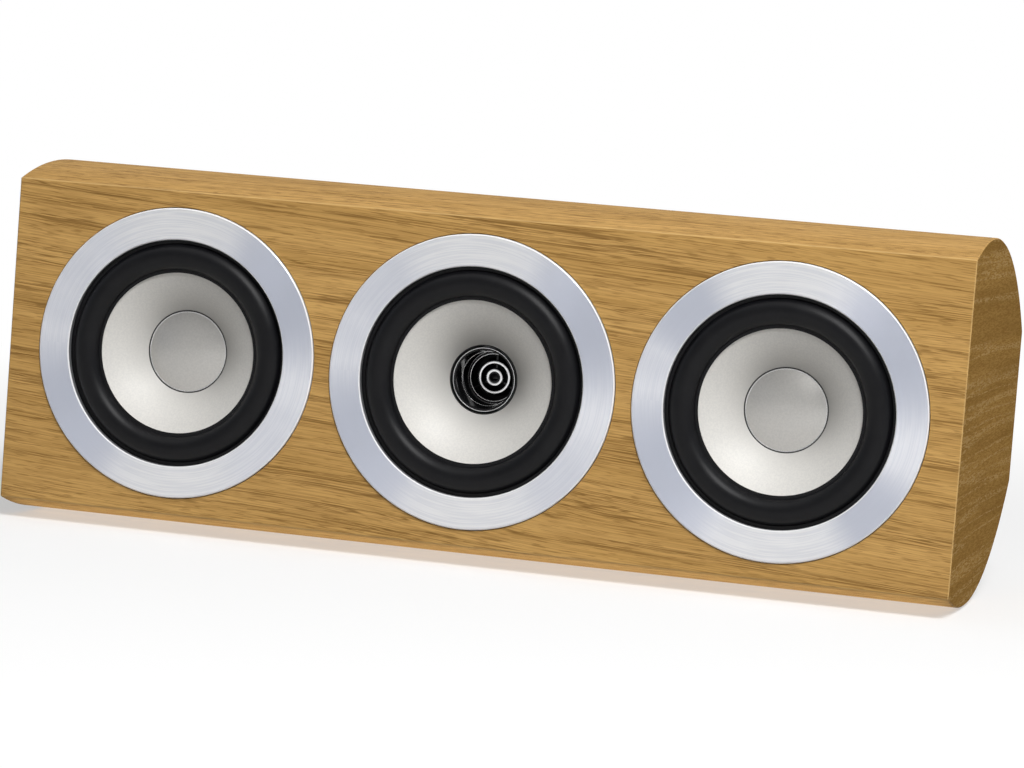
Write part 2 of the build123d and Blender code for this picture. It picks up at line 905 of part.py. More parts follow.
def lead(points):
    """Insulated wire along straight runs joined by bends."""
    path = FilletPolyline(*points, radius=lead_bend)
    section = Plane(origin=path @ 0, z_dir=path % 0) * Circle(lead_radius)
    return sweep(section, path=path)


def post_lead(side):
    """Lead from a binding post to the board, between the inductors and capacitors."""
    x = side * post_spacing / 2
    tail_end = post_floor - terminal_wall - post_tail
    depth = post_lead_depth - side * lead_pitch / 2
    return lead([(x, tail_end, 0), (x, depth, 0), (board_face_x, depth, 0)])


def driver_lead(basket_x, side, cone, height):
    """Lead from a driver's basket to the front edge of the board, in front of the inductors."""
    near_edge = abs(height) - lead_radius
    start = basket_x + side * (math.sqrt(plate_radius**2 - near_edge**2) + glue_line)
    over = lead_turn_x
    if basket_x > 0:
        over = brace_x - brace_thickness
    turn = cone.platform_depth
    route = [(start, turn, height), (over, turn, height)]
    route += [(over, driver_lead_depth, height), (board_face_x, driver_lead_depth, height)]
    return lead(route)


def internal_leads():
    """Pairs of leads from the posts and to the three drivers."""
    leads = [post_lead(side) for side in (-1, 1)]
    for strand in (-0.5, 0.5):
        leads.append(driver_lead(-driver_spacing, 1, bass_cone, strand * lead_pitch))
        leads.append(driver_lead(0, -1, dual_cone, (2 + strand) * lead_pitch))
        leads.append(driver_lead(driver_spacing, -1, bass_cone, strand * lead_pitch - crossing_drop))
    return leads


def damping_sheet(side):
    """Soft sheet on the bottom panel behind a bass driver."""
    near = brace_x + brace_thickness / 2 + sheet_side_gap
    far = inner_half_width - sheet_side_gap
    x_range = sorted((side * near, side * far))
    depth = (baffle_thickness + sheet_setback, rear_inner_depth - sheet_setback)
    return bow_band(x_range, depth, -1, bow_wall + glue_line, sheet_thickness)


def all_nodes():
    """Every node's name and solid."""
    envelope = cabinet_envelope()
    nodes = {
        "front_baffle": front_baffle(envelope),
        "top_panel": bow_panel(envelope, 1),
        "bottom_panel": bow_panel(envelope, -1),
        "left_end_panel": end_panel(envelope, -1),
        "right_end_panel": end_panel(envelope, 1),
        "rear_panel": rear_panel(envelope),
        "left_brace": brace(-brace_x),
        "right_brace": brace(brace_x),
        "left_support_foot": support_foot(-1),
        "right_support_foot": support_foot(1),
    }
    for name, x, cone in zip(("left", "middle", "right"), driver_places, (bass_cone, dual_cone, bass_cone)):
        bore = dual_bore if cone is dual_cone else pole_vent_radius
        pieces = {
            "trim_ring": trim_ring(),
            "basket": basket(cone),
            "surround": surround(),
            "cone": cone_shell(cone),
            "voice_coil": voice_coil(cone),
            "spider": spider(cone),
            "top_plate": top_plate(cone),
            "magnet": ring_magnet(cone),
            "yoke": yoke(cone, bore),
        }
        if cone is bass_cone:
            pieces["dust_cap"] = dust_cap(cone)
        for piece, solid in pieces.items():
            nodes[f"{name}_{piece}"] = Pos(x, 0, 0) * solid
    nodes["hf_waveguide"] = hf_waveguide()
    nodes["hf_phase_plug"] = hf_phase_plug()
    nodes["hf_diaphragm"] = hf_diaphragm()
    nodes["hf_rear_cup"] = hf_rear_cup()
    nodes["hf_magnet"] = hf_magnet()
    nodes["driver_gaskets"] = group(Pos(x, 0, 0) * driver_gasket() for x in driver_places)
    front_screw = Pos(driver_screw_circle, 0, 0) * mounting_screw(ring_back + screw_sink)
    rear_screw = Pos(0, rear_face_depth - screw_sink, 0) * Rot(0, 0, 180) * mounting_screw(0)
    screws = [Pos(x, 0, 0) * s for x in driver_places for s in around(driver_screw_count, front_screw, 45)]
    for side in (-1, 1):
        screws += [Pos(side * terminal_screw_x, 0, end * terminal_screw_z) * rear_screw for end in (-1, 1)]
    nodes["mounting_screws"] = group(screws)
    nodes["terminal_panel"] = terminal_panel()
    half_post = post_spacing / 2
    nodes["binding_posts"] = group(binding_post(-half_post) + binding_post(half_post))
    for name, x in (("red", half_post), ("black", -half_post)):
        nodes[f"{name}_post_insert"] = post_insert(x)
        nodes[f"{name}_post_cap"] = post_cap(x)
    nodes["left_port_tube"] = port_tube(-driver_spacing)
    nodes["right_port_tube"] = port_tube(driver_spacing)
    nodes["bracket_inserts"] = group(bracket_insert(side * bracket_spacing / 2) for side in (-1, 1))
    nodes["crossover_board"] = crossover_board()
    nodes["crossover_inductors"] = group(crossover_inductor(end) for end in (-1, 1))
    nodes["crossover_capacitors"] = group(crossover_capacitor(row) for row in (-1, 0, 1))
    nodes["internal_leads"] = group(internal_leads())
    nodes["damping_sheets"] = group(damping_sheet(side) for side in (-1, 1))
    return nodes


os.makedirs("parts", exist_ok=True)
for node, shape in all_nodes().items():
    export_step(Pos(0, -middle_depth, axis_height) * shape, f"parts/{node}.step")
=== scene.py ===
import logging
import math
from collections.abc import Callable, Iterator
from contextlib import contextmanager
from dataclasses import dataclass
from enum import Enum
from functools import reduce

import bpy
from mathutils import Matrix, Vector


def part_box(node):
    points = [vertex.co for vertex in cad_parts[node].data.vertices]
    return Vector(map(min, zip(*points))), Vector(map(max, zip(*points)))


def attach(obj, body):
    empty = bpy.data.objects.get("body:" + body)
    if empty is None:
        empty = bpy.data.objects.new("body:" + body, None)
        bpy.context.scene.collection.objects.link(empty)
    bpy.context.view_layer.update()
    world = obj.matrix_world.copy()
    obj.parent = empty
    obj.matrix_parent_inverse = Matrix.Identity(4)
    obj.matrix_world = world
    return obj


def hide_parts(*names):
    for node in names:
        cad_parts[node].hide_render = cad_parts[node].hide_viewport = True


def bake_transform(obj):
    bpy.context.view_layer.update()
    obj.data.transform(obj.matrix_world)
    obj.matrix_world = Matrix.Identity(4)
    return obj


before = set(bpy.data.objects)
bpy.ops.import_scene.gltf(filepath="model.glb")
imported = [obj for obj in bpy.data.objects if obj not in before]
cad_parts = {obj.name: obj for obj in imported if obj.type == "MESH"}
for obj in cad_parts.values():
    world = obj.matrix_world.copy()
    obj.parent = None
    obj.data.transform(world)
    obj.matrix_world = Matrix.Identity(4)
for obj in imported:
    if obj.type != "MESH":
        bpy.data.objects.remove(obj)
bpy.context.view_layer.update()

MM = 0.001
TINY = 0.01 * MM
# Where a mask that is drawn from a noise starts and ends.
SOFT_STEP = (0.3, 0.7)
FIRM_STEP = (0.35, 0.65)
WIDE_STEP = (0.25, 0.75)
# The share of the second pair of painted dim reflection sectors on each ring, from left to right.
CROSS_SHEENS = (0.0, 0.35, 0.9)
WHITE = (1.0, 1.0, 1.0)
FORWARD = (0.0, -1.0, 0.0)

Colour = tuple[float, float, float]
Point = tuple[float, float, float]
Pair = tuple[float, float]
Piece = bpy.types.Object
Socket = bpy.types.NodeSocket
Feed = Socket | float | tuple[float, ...]
Feeds = dict[str | int, Feed]

log = logging.getLogger("center_speaker")


class Side(Enum):
    """The three drivers, by their side of the front."""

    LEFT = "left"
    MIDDLE = "middle"
    RIGHT = "right"


class Pick(Enum):
    """What is selected in a mesh."""

    VERTICES = "VERT"
    FACES = "FACE"


class Pattern(Enum):
    """The surface patterns that several finishes share, by the methods that draw them."""

    SPECKLE = "fine_speckle"
    WINDING = "close_winding"
    WEAVE = "plain_weave"
    FIBRE = "loose_fibre"
    TRACE = "board_traces"
    GRAIN = "wood_grain"
    END_GRAIN = "calm_wood_grain"
    BRUSHED = "turned_brushing"


class NodeSheet:
    """Short ways to add and join nodes in one node tree."""

    def __init__(self, tree: bpy.types.NodeTree) -> None:
        """Keeps the tree that the nodes go into."""
        self.tree = tree

    def fill(self, node: bpy.types.Node, feeds: Feeds) -> None:
        """Links a node's inputs to other sockets, or sets their values.

        Args:
            node: the node.
            feeds: an output socket, a number, a colour or a vector for each input, by name or number.
        """
        for key, value in feeds.items():
            socket = node.inputs[key]
            if isinstance(value, Socket):
                self.tree.links.new(value, socket)
            elif socket.type == "RGBA":
                socket.default_value = (*value, 1.0)
            else:
                socket.default_value = value

    def node(self, kind: str, feeds: Feeds | None = None, **settings: object) -> bpy.types.Node:
        """Adds a shader node.

        Args:
            kind: the node's type, without its usual prefix.
            feeds: what goes into its inputs, by name or number.
            settings: the node's own properties.

        Returns:
            The new node.
        """
        made = self.tree.nodes.new("ShaderNode" + kind)
        for key, value in settings.items():
            setattr(made, key, value)
        self.fill(made, feeds or {})
        return made

    def calc(self, operation: str, a: Feed, b: Feed = 0.0) -> Socket:
        """Adds a Math node and gives its result."""
        return self.node("Math", {0: a, 1: b}, operation=operation).outputs[0]

    def times(self, a: Feed, b: Feed) -> Socket:
        """Multiplies two numbers."""
        return self.calc("MULTIPLY", a, b)

    def apart(self, a: Feed, b: Feed = 0.0) -> Socket:
        """Gives how far two numbers are apart."""
        return self.calc("ABSOLUTE", self.calc("SUBTRACT", a, b))

    def largest(self, *numbers: Feed) -> Socket:
        """Gives the largest of some numbers."""
        return reduce(lambda a, b: self.calc("MAXIMUM", a, b), numbers)

    def weigh(self, a: Feed, b: Feed, share: float) -> Socket:
        """Adds two numbers, the first by its share and the second by the rest."""
        return self.calc("ADD", self.times(a, share), self.times(b, 1 - share))

    def mix(self, share: Feed, a: Feed, b: Feed) -> Socket:
        """Mixes two colours, the second by the given share."""
        return self.node("Mix", {0: share, 6: a, 7: b}, data_type="RGBA").outputs[2]

    def mix_numbers(self, share: Feed, a: Feed, b: Feed) -> Socket:
        """Mixes two numbers, the second by the given share."""
        return self.node("Mix", {0: share, 2: a, 3: b}).outputs[0]

    def span(self, value: Feed, low: float, high: float, to_low: float = 0.0, to_high: float = 1.0) -> Socket:
        """Maps a range of numbers smoothly on another and stays inside it."""
        feeds = {0: value, 1: low, 2: high, 3: to_low, 4: to_high}
        return self.node("MapRange", feeds, interpolation_type="SMOOTHSTEP").outputs[0]

    def noise(self, place: Socket, scale: float = 1.0, detail: float = 2.0, warp: float = 0.0) -> Socket:
        """Adds a noise from 0 to 1, with as many finer waves as its detail says."""
        feeds = {"Vector": place, "Scale": scale, "Detail": detail, "Distortion": warp}
        return self.node("TexNoise", feeds).outputs[0]

    def place(
        self, vector: Socket, scale: Point = (1, 1, 1), turn: Point = (0, 0, 0), move: Point = (0, 0, 0)
    ) -> Socket:
        """Scales, turns (in degrees) and then moves a place."""
        angles = tuple(map(math.radians, turn))
        return self.node("Mapping", {0: vector, 1: move, 2: angles, 3: scale}).outputs[0]

    def parts(self, vector: Socket) -> bpy.types.NodeOutputs:
        """Splits a vector in its three numbers."""
        return self.node("SeparateXYZ", {0: vector}).outputs

    def vector(self, x: Feed = 0.0, y: Feed = 0.0, z: Feed = 0.0) -> Socket:
        """Joins three numbers in a vector."""
        return self.node("CombineXYZ", {0: x, 1: y, 2: z}).outputs[0]

    def length(self, vector: Socket) -> Socket:
        """Gives a vector's length."""
        return self.node("VectorMath", {0: vector}, operation="LENGTH").outputs["Value"]

    def unit(self, vector: Socket) -> Socket:
        """Gives a vector's direction, with a length of 1."""
        return self.node("VectorMath", {0: vector}, operation="NORMALIZE").outputs[0]

    def bump(self, height: Socket, strength: float, depth: float) -> Socket:
        """Turns a height into a normal; the depth is in millimetres."""
        feeds = {"Height": height, "Strength": strength, "Distance": depth * MM}
        return self.node("Bump", feeds).outputs[0]

    def rays(self) -> tuple[Socket, Socket]:
        """Gives the masks of what the camera sees and of what mirrors and clear pieces see."""
        path = self.node("LightPath").outputs
        return path["Is Camera Ray"], self.largest(path["Is Glossy Ray"], path["Is Transmission Ray"])


class PatternDrawing(NodeSheet):
    """Draws the shared patterns, each in a shader node group of its own."""

    def __init__(self, tree: bpy.types.NodeTree) -> None:
        """Gives the group its input, which is a place.

        Args:
            tree: the group.
        """
        super().__init__(tree)
        tree.interface.new_socket("Place", in_out="INPUT", socket_type="NodeSocketVector")
        self.start = tree.nodes.new("NodeGroupInput").outputs[0]
        self.end = tree.nodes.new("NodeGroupOutput")

    @classmethod
    def group(cls, pattern: Pattern) -> bpy.types.NodeTree:
        """Gives a pattern's group, and draws it the first time.

        Args:
            pattern: which pattern.

        Returns:
            The node group. Its input is a place, and its outputs are masks from 0 to 1.
        """
        tree = bpy.data.node_groups.get(pattern.value)
        if tree is None:
            tree = bpy.data.node_groups.new(pattern.value, "ShaderNodeTree")
            getattr(cls(tree), pattern.value)()
        return tree

    def give(self, **masks: Socket) -> None:
        """Makes the group's outputs.

        Args:
            masks: what each output gives, by its name.
        """
        for name, mask in masks.items():
            self.tree.interface.new_socket(name, in_out="OUTPUT", socket_type="NodeSocketFloat")
            self.tree.links.new(mask, self.end.inputs[name])

    def wave(self, along: Socket) -> Socket:
        """Gives a sine with one wave in each unit."""
        return self.calc("SINE", self.times(along, 2 * math.pi))

    def fine_speckle(self) -> None:
        """Draws fine moulded grain with broad, faint clouds."""
        self.give(Tone=self.noise(self.start, scale=0.04), Height=self.noise(self.start, detail=3.0))

    def close_winding(self) -> None:
        """Draws turns of wire side by side along X."""
        height = self.span(self.wave(self.parts(self.start)[0]), -1.0, 1.0)
        self.give(Tone=self.noise(self.start, scale=0.6), Height=height)

    def plain_weave(self) -> None:
        """Draws threads over and under each other in X and Z."""
        x, _, z = self.parts(self.start)
        height = self.span(self.times(self.wave(x), self.wave(z)), -1.0, 1.0)
        self.give(Tone=self.noise(self.start, scale=0.2, detail=3.0), Height=height)

    def loose_fibre(self) -> None:
        """Draws matted fibres in every direction."""
        strands = self.noise(self.start, detail=6.0, warp=2.5)
        self.give(Tone=self.noise(self.start, scale=0.15, detail=3.0), Height=strands)

    def board_traces(self) -> None:
        """Draws the tracks of a circuit board under its lacquer."""
        _, y, z = self.parts(self.start)
        feeds = {"Vector": self.vector(y, z), "Scale": 0.25, "Mortar Size": 0.06, "Mortar Smooth": 0.2}
        tracks = self.node("TexBrick", feeds, offset=0.35, squash=0.7).outputs["Fac"]
        self.give(Tone=tracks, Height=tracks)

    def sway(self, reach: float) -> None:
        """Lets the lines along X that are drawn next wander up and down.

        Args:
            reach: how far they wander, in metres.
        """
        drift = self.noise(self.place(self.start, (4, 11, 11)), detail=1.0)
        shift = self.times(self.calc("SUBTRACT", drift, 0.5), reach)
        feeds = {0: self.start, 1: self.vector(y=shift, z=shift)}
        self.start = self.node("VectorMath", feeds, operation="ADD").outputs[0]

    def layer(self, along: float, across: float, move: Point = (0, 0, 0), detail: float = 1.0) -> Socket:
        """Gives a noise with so many waves a metre along X and across it."""
        return self.noise(self.place(self.start, (along, across, across), move=move), detail=detail)

    def contour(self, level: Socket, width: float) -> Socket:
        """Draws thin lines where a noise crosses its middle level."""
        return self.span(self.apart(level, 0.5), 0.0, width, 1.0, 0.0)

    def wood_grain(self) -> None:
        """Draws wood with its grain along X: broad bands, fine fibres, thin broken lines and short pores."""
        self.sway(reach=0.012)
        bands = self.layer(along=4, across=110, detail=2.0)
        fibres = self.layer(along=26, across=1800, move=(3, 1, 7), detail=2.0)
        broad = self.layer(along=3, across=230, move=(9, 4, 2))
        close = self.layer(along=5, across=450, move=(4, 7, 8))
        narrow = self.layer(along=7, across=800, move=(1, 9, 6))
        widths = ((broad, 0.016), (close, 0.03), (narrow, 0.05))
        lines = self.largest(*(self.contour(level, width) for level, width in widths))
        breaks = self.layer(along=8, across=330, move=(6, 5, 3))
        pores = self.layer(along=100, across=1900, move=(5, 8, 1))
        self.give(
            Bands=self.span(bands, *SOFT_STEP),
            Fibres=self.span(fibres, *SOFT_STEP),
            Streaks=self.times(lines, self.span(breaks, 0.42, 0.6)),
            Pores=self.span(pores, 0.57, 0.66),
        )

    def calm_wood_grain(self) -> None:
        """Draws calmer wood with its grain along X: clouds, fine fibres and thin dotted pale lines."""
        self.sway(reach=0.006)
        bands = self.layer(along=4, across=130, detail=2.0)
        fibres = self.layer(along=170, across=2000, move=(3, 1, 7), detail=2.0)
        lines = self.contour(self.layer(along=2.2, across=170, move=(2, 6, 4)), width=0.07)
        dots = self.layer(along=190, across=1500, move=(7, 3, 5))
        self.give(
            Bands=self.span(bands, *FIRM_STEP),
            Fibres=self.span(fibres, *FIRM_STEP),
            Flecks=self.times(lines, self.span(dots, 0.42, 0.58)),
        )

    def turned_brushing(self) -> None:
        """Draws fine rings about the Y axis, as a turning brush leaves them, and random wedges about the axis
        for a painted reflection.
        """
        x, _, z = self.parts(self.start)
        flat = self.vector(x, z=z)
        radius = self.length(flat)
        along = self.times(self.calc("ARCTAN2", z, x), 1.8)
        fine, broad = (self.noise(self.vector(self.times(radius, waves), along)) for waves in (2400, 1100))
        reflection_wedges = self.noise(self.place(self.unit(flat), (1.5, 1.5, 1.5), move=(4, 2, 9)))
        self.give(
            Tone=self.span(broad, *WIDE_STEP),
            Height=self.span(fine, *WIDE_STEP),
            Wedges=self.span(reflection_wedges, *FIRM_STEP),
        )


class Coat(NodeSheet):
    """The nodes of one new material, which starts from the object's own coordinates, the frame's."""

    def __init__(self, name: str) -> None:
        """Starts the material with its shader.

        Args:
            name: the material's name.
        """
        self.material = bpy.data.materials.new(name)
        self.material.use_nodes = True
        super().__init__(self.material.node_tree)
        self.shader = self.tree.nodes["Principled BSDF"]
        self.start = self.node("TexCoord").outputs["Object"]

    def pattern(self, pattern: Pattern, place: Socket) -> bpy.types.NodeOutputs:
        """Places a shared pattern in the material and gives its masks."""
        return self.node("Group", {"Place": place}, node_tree=PatternDrawing.group(pattern)).outputs

    def sized(self, size: float, turn: Point = (0, 0, 0)) -> Socket:
        """Gives a place whose unit is a size in millimetres."""
        scale = 1 / (size * MM)
        return self.place(self.start, (scale, scale, scale), turn)

    def stain(self, tone: Feed, mask: Socket, share: float, colour: Colour) -> Socket:
        """Lays a colour over a tone, by a share of a mask."""
        return self.mix(self.times(mask, share), tone, colour)

    def shade(self, **sockets: Feed) -> None:
        """Feeds the shader's inputs, which are named with _ for a space."""
        self.fill(self.shader, {key.replace("_", " "): value for key, value in sockets.items()})


@dataclass(frozen=True)
class Finish:
    """What every finish has: a name, and a way onto pieces. Sizes are in millimetres."""

    name: str

    def paint(self, coat: Coat) -> None:
        """Builds the material's nodes; each kind of finish has its own way."""
        raise NotImplementedError

    def dress(self, *pieces: Piece) -> None:
        """Puts the finish on pieces, in place of what they had.

        Args:
            pieces: the pieces.
        """
        made = bpy.data.materials.get(self.name)
        if made is None:
            coat = Coat(self.name)
            self.paint(coat)
            made = coat.material
        for piece in pieces:
            piece.data.materials.clear()
            piece.data.materials.append(made)

    def cover(self, *names: str) -> None:
        """Puts the finish on CAD nodes, by their names."""
        self.dress(*(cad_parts[name] for name in names))


@dataclass(frozen=True)
class Veneer(Finish):
    """Golden lacquered veneer: the grain runs along the front, and from front to back on the ends."""

    name: str = "golden_veneer"
    pale: Colour = (0.63, 0.38, 0.129)
    middle: Colour = (0.55, 0.325, 0.103)
    dark: Colour = (0.215, 0.105, 0.026)
    line: Colour = (0.15, 0.07, 0.016)
    # The ends' grain tones, darker than the front's as painted shade.
    shaded_end_pale: Colour = (0.4, 0.235, 0.07)
    shaded_end_dark: Colour = (0.32, 0.184, 0.052)
    fleck: Colour = (0.6, 0.41, 0.18)
    # The pale line round the front: partly the veneer's edge, partly a painted highlight.
    edge: Colour = (0.66, 0.45, 0.2)
    fibre_share: float = 0.38
    streak_share: float = 0.68
    pore_share: float = 0.4
    end_fibre_share: float = 0.6
    fleck_share: float = 0.4
    edge_share: float = 0.55
    grain_turn: Point = (0, -3.5, 0)
    end_turn: Point = (0.6, 0, 90)
    end_start: Point = (0.7, 0.3, 0.2)
    end_slope: float = 0.72
    lacquer: float = 0.16
    lacquer_rough: float = 0.42
    rough: Pair = (0.4, 0.58)
    pit_limit: float = 1.2
    fibre_rise: float = 0.3
    relief: float = 0.25
    depth: float = 0.1
    half_width: float = 214.0
    half_face: float = 71.5
    middle_height: float = 80.5
    front: float = -82.15
    edge_line: float = 0.6

    def paint(self, coat: Coat) -> None:
        """Builds the veneer.

        Args:
            coat: the material's nodes.
        """
        normal = coat.parts(coat.node("TexCoord").outputs["Normal"])
        on_end = coat.calc("GREATER_THAN", coat.apart(normal[0]), self.end_slope)
        grain = coat.pattern(Pattern.GRAIN, coat.place(coat.start, turn=self.grain_turn))
        tone = coat.mix(grain["Bands"], self.pale, self.middle)
        tone = coat.stain(tone, grain["Fibres"], self.fibre_share, self.dark)
        tone = coat.stain(tone, grain["Streaks"], self.streak_share, self.line)
        tone = coat.stain(tone, grain["Pores"], self.pore_share, self.line)
        # The ends take their own darker tone, whose darkness is painted shade.
        tone = coat.mix(on_end, tone, self.shaded_end_tone(coat))
        pits = coat.calc("ADD", grain["Streaks"], grain["Pores"])
        raised = coat.calc("SUBTRACT", coat.times(grain["Fibres"], self.fibre_rise), pits)
        relief = coat.times(raised, coat.calc("SUBTRACT", 1.0, on_end))
        # The pale line round the front, laid over the colour below, is partly a painted highlight.
        coat.shade(
            Base_Color=coat.stain(tone, self.edge_mask(coat), self.edge_share, self.edge),
            Roughness=coat.span(pits, 0.0, self.pit_limit, *self.rough),
            Specular_IOR_Level=0.0,
            Coat_Weight=coat.span(on_end, 0.0, 1.0, self.lacquer, 0.0),
            Coat_Roughness=self.lacquer_rough,
            Normal=coat.bump(relief, self.relief, self.depth),
        )

    def shaded_end_tone(self, coat: Coat) -> Socket:
        """Gives the colour of the cabinet's ends, where the grain runs from front to back, in tones darker
        than the front's: the difference is painted shade.

        Args:
            coat: the material's nodes.

        Returns:
            The colour's socket.
        """
        along = coat.place(coat.start, turn=self.end_turn, move=self.end_start)
        grain = coat.pattern(Pattern.END_GRAIN, along)
        tone = coat.mix(grain["Bands"], self.shaded_end_pale, self.shaded_end_dark)
        tone = coat.stain(tone, grain["Fibres"], self.end_fibre_share, self.dark)
        return coat.stain(tone, grain["Flecks"], self.fleck_share, self.fleck)

    def edge_mask(self, coat: Coat) -> Socket:
        """Gives the mask of the thin pale line round the front, which is partly the veneer's edge and partly
        a painted highlight.

        Args:
            coat: the material's nodes.

        Returns:
            The mask's socket.
        """
        x, y, z = coat.parts(coat.start)
        line, front = self.edge_line * MM, self.front * MM
        rise = coat.apart(z, self.middle_height * MM)
        limits = ((coat.apart(x), self.half_width * MM), (rise, self.half_face * MM))
        round_front = (coat.span(reach, limit - line, limit - line / 3) for reach, limit in limits)
        fore = coat.span(y, front + line / 3, front + line, 1.0, 0.0)
        return coat.times(coat.largest(*round_front), fore)


@dataclass(frozen=True)
class BrushedRing(Finish):
    """Aluminium brushed in circles about a driver's axis, with its gloss drawn out across the lines.

    A sector is given by its direction in degrees and the cosine of half its width. The base colour carries a
    painted reflection: sectors and random wedges dimmed towards blue, and a sector lifted towards white as a
    painted highlight.
    """

    centre_x: float = 0.0
    centre_z: float = 0.0
    cross_reflection_share: float = 0.0
    inner: float = 50.0
    outer: float = 64.0
    edge_line: float = 0.5
    lip_line: float = 0.55
    lip_start: float = -82.95
    lip_end: float = -82.45
    pale: Colour = (0.935, 0.945, 0.99)
    dark: Colour = (0.87, 0.88, 0.93)
    # The outer edge's colour is a painted highlight; the inner lip runs from it into painted shade.
    edge: Colour = (0.93, 0.93, 0.94)
    lip: Colour = (0.16, 0.162, 0.17)
    # Blue of the painted reflection in the dim sectors; the brush lines darken towards it too.
    cool: Colour = (0.58, 0.61, 0.705)
    # White of the painted highlight in the lifted sector.
    bright: Colour = (0.985, 0.985, 0.985)
    # Sectors of painted reflection: two pairs dimmed, one pair lifted.
    dim_reflection_sector: Pair = (33.0, 0.74)
    cross_reflection_sector: Pair = (137.0, 0.9)
    glint_sector: Pair = (93.0, 0.8)
    glint_share: float = 0.8
    reflection_wedge_share: float = 0.3
    brush_share: float = 0.26
    tone_share: float = 0.5
    metal: Pair = (0.72, 0.2)
    rough: Pair = (0.28, 0.31)
    lip_rough: float = 0.8
    stretch: float = 0.8
    relief: float = 0.03
    depth: float = 0.01

    def paint(self, coat: Coat) -> None:
        """Builds the brushed metal.

        Args:
            coat: the material's nodes.
        """
        place = coat.place(coat.start, move=(-self.centre_x, 0, -self.centre_z))
        lines = coat.pattern(Pattern.BRUSHED, place)
        shade = coat.weigh(lines["Tone"], lines["Height"], self.tone_share)
        x, y, z = coat.parts(place)
        outward = coat.vector(x, z=z)
        radius = coat.length(outward)
        across = coat.unit(outward)
        # Painted reflection: dim sectors and random wedges turn the brushed tone blue, and a lifted sector
        # turns it white.
        painted_dim_mask = coat.largest(
            self.sector(coat, across, *self.dim_reflection_sector),
            coat.times(self.sector(coat, across, *self.cross_reflection_sector), self.cross_reflection_share),
            coat.times(lines["Wedges"], self.reflection_wedge_share),
        )
        tone = coat.mix(painted_dim_mask, coat.mix(shade, self.dark, self.pale), self.cool)
        painted_glint_mask = self.sector(coat, across, *self.glint_sector)
        tone = coat.stain(tone, painted_glint_mask, self.glint_share, self.bright)
        tone = coat.mix(coat.span(shade, *FIRM_STEP, 0.0, self.brush_share), tone, self.cool)
        # The outer edge is painted bright as a highlight, and the inner lip goes from that painted highlight
        # at its front to painted shade deeper in.
        rim = coat.calc("GREATER_THAN", radius, (self.outer - self.edge_line) * MM)
        lip = coat.calc("LESS_THAN", radius, (self.inner + self.lip_line) * MM)
        lip_glint_and_shade = coat.mix(coat.span(y, self.lip_start * MM, self.lip_end * MM), self.edge, self.lip)
        satin = coat.span(lines["Tone"], 0.0, 1.0, *self.rough)
        coat.shade(
            Base_Color=coat.mix(rim, coat.mix(lip, tone, lip_glint_and_shade), self.edge),
            Metallic=coat.span(coat.largest(rim, lip), 0.0, 1.0, *self.metal),
            Roughness=coat.largest(satin, coat.times(lip, self.lip_rough)),
            Anisotropic=self.stretch,
            Tangent=across,
            Normal=coat.bump(lines["Height"], self.relief, self.depth),
        )

    def sector(self, coat: Coat, across: Socket, degrees: float, start: float) -> Socket:
        """Gives the mask of a sector and the one that faces it."""
        turned = coat.place(across, turn=(0, degrees, 0))
        return coat.span(coat.apart(coat.parts(turned)[0]), start, 1.0)


@dataclass(frozen=True)
class PearlCoat(Finish):
    """Satin pearl lacquer with fine flakes, on a pressed cone or cap; with its neck share, the colour darkens
    with depth towards the cone's neck as painted shade.
    """

    name: str = "pearl_silver"
    pale: Colour = (0.685, 0.669, 0.632)
    shade: Colour = (0.612, 0.6, 0.574)
    metal: float = 0.12
    rough: Pair = (0.55, 0.61)
    flake: float = 0.8
    cloud_share: float = 0.2
    relief: float = 0.1
    depth: float = 0.02
    # Painted shade towards the cone's neck, where less light reaches.
    neck_shade_tone: Colour = (0.47, 0.46, 0.44)
    neck_start: float = -77.0
    neck_end: float = -61.0
    neck_shade_share: float = 0.0
    crest_x: float = 135.7
    crest_z: float = 80.5
    crest_radius: float = 0.0

    def paint(self, coat: Coat) -> None:
        """Builds the lacquer.

        Args:
            coat: the material's nodes.
        """
        flakes = coat.pattern(Pattern.SPECKLE, coat.sized(self.flake))
        clouds = coat.span(flakes["Tone"], *SOFT_STEP)
        flecked = coat.weigh(clouds, coat.span(flakes["Height"], *SOFT_STEP), self.cloud_share)
        y = coat.parts(coat.start)[1]
        # Painted shade: darker with depth towards the neck.
        neck_shade = coat.span(y, self.neck_start * MM, self.neck_end * MM, 0.0, self.neck_shade_share)
        normal = coat.bump(flakes["Height"], self.relief, self.depth)
        if self.crest_radius:
            feeds = {0: self.crest_mask(coat), 4: normal, 5: FORWARD}
            normal = coat.node("Mix", feeds, data_type="VECTOR").outputs[1]
        coat.shade(
            Base_Color=coat.mix(neck_shade, coat.mix(flecked, self.shade, self.pale), self.neck_shade_tone),
            Roughness=coat.span(clouds, 0.0, 1.0, *self.rough),
            Metallic=self.metal,
            Normal=normal,
        )

    def crest_mask(self, coat: Coat) -> Socket:
        """Gives the mask of the flat middle of a cap, where the facets of the solid meet.

        Args:
            coat: the material's nodes.

        Returns:
            The mask's socket.
        """
        x, _, z = coat.parts(coat.start)
        aside = coat.calc("SUBTRACT", coat.apart(x), self.crest_x * MM)
        rise = coat.calc("SUBTRACT", z, self.crest_z * MM)
        reach = self.crest_radius * MM
        return coat.span(coat.length(coat.vector(aside, z=rise)), reach / 2, reach, 1.0, 0.0)


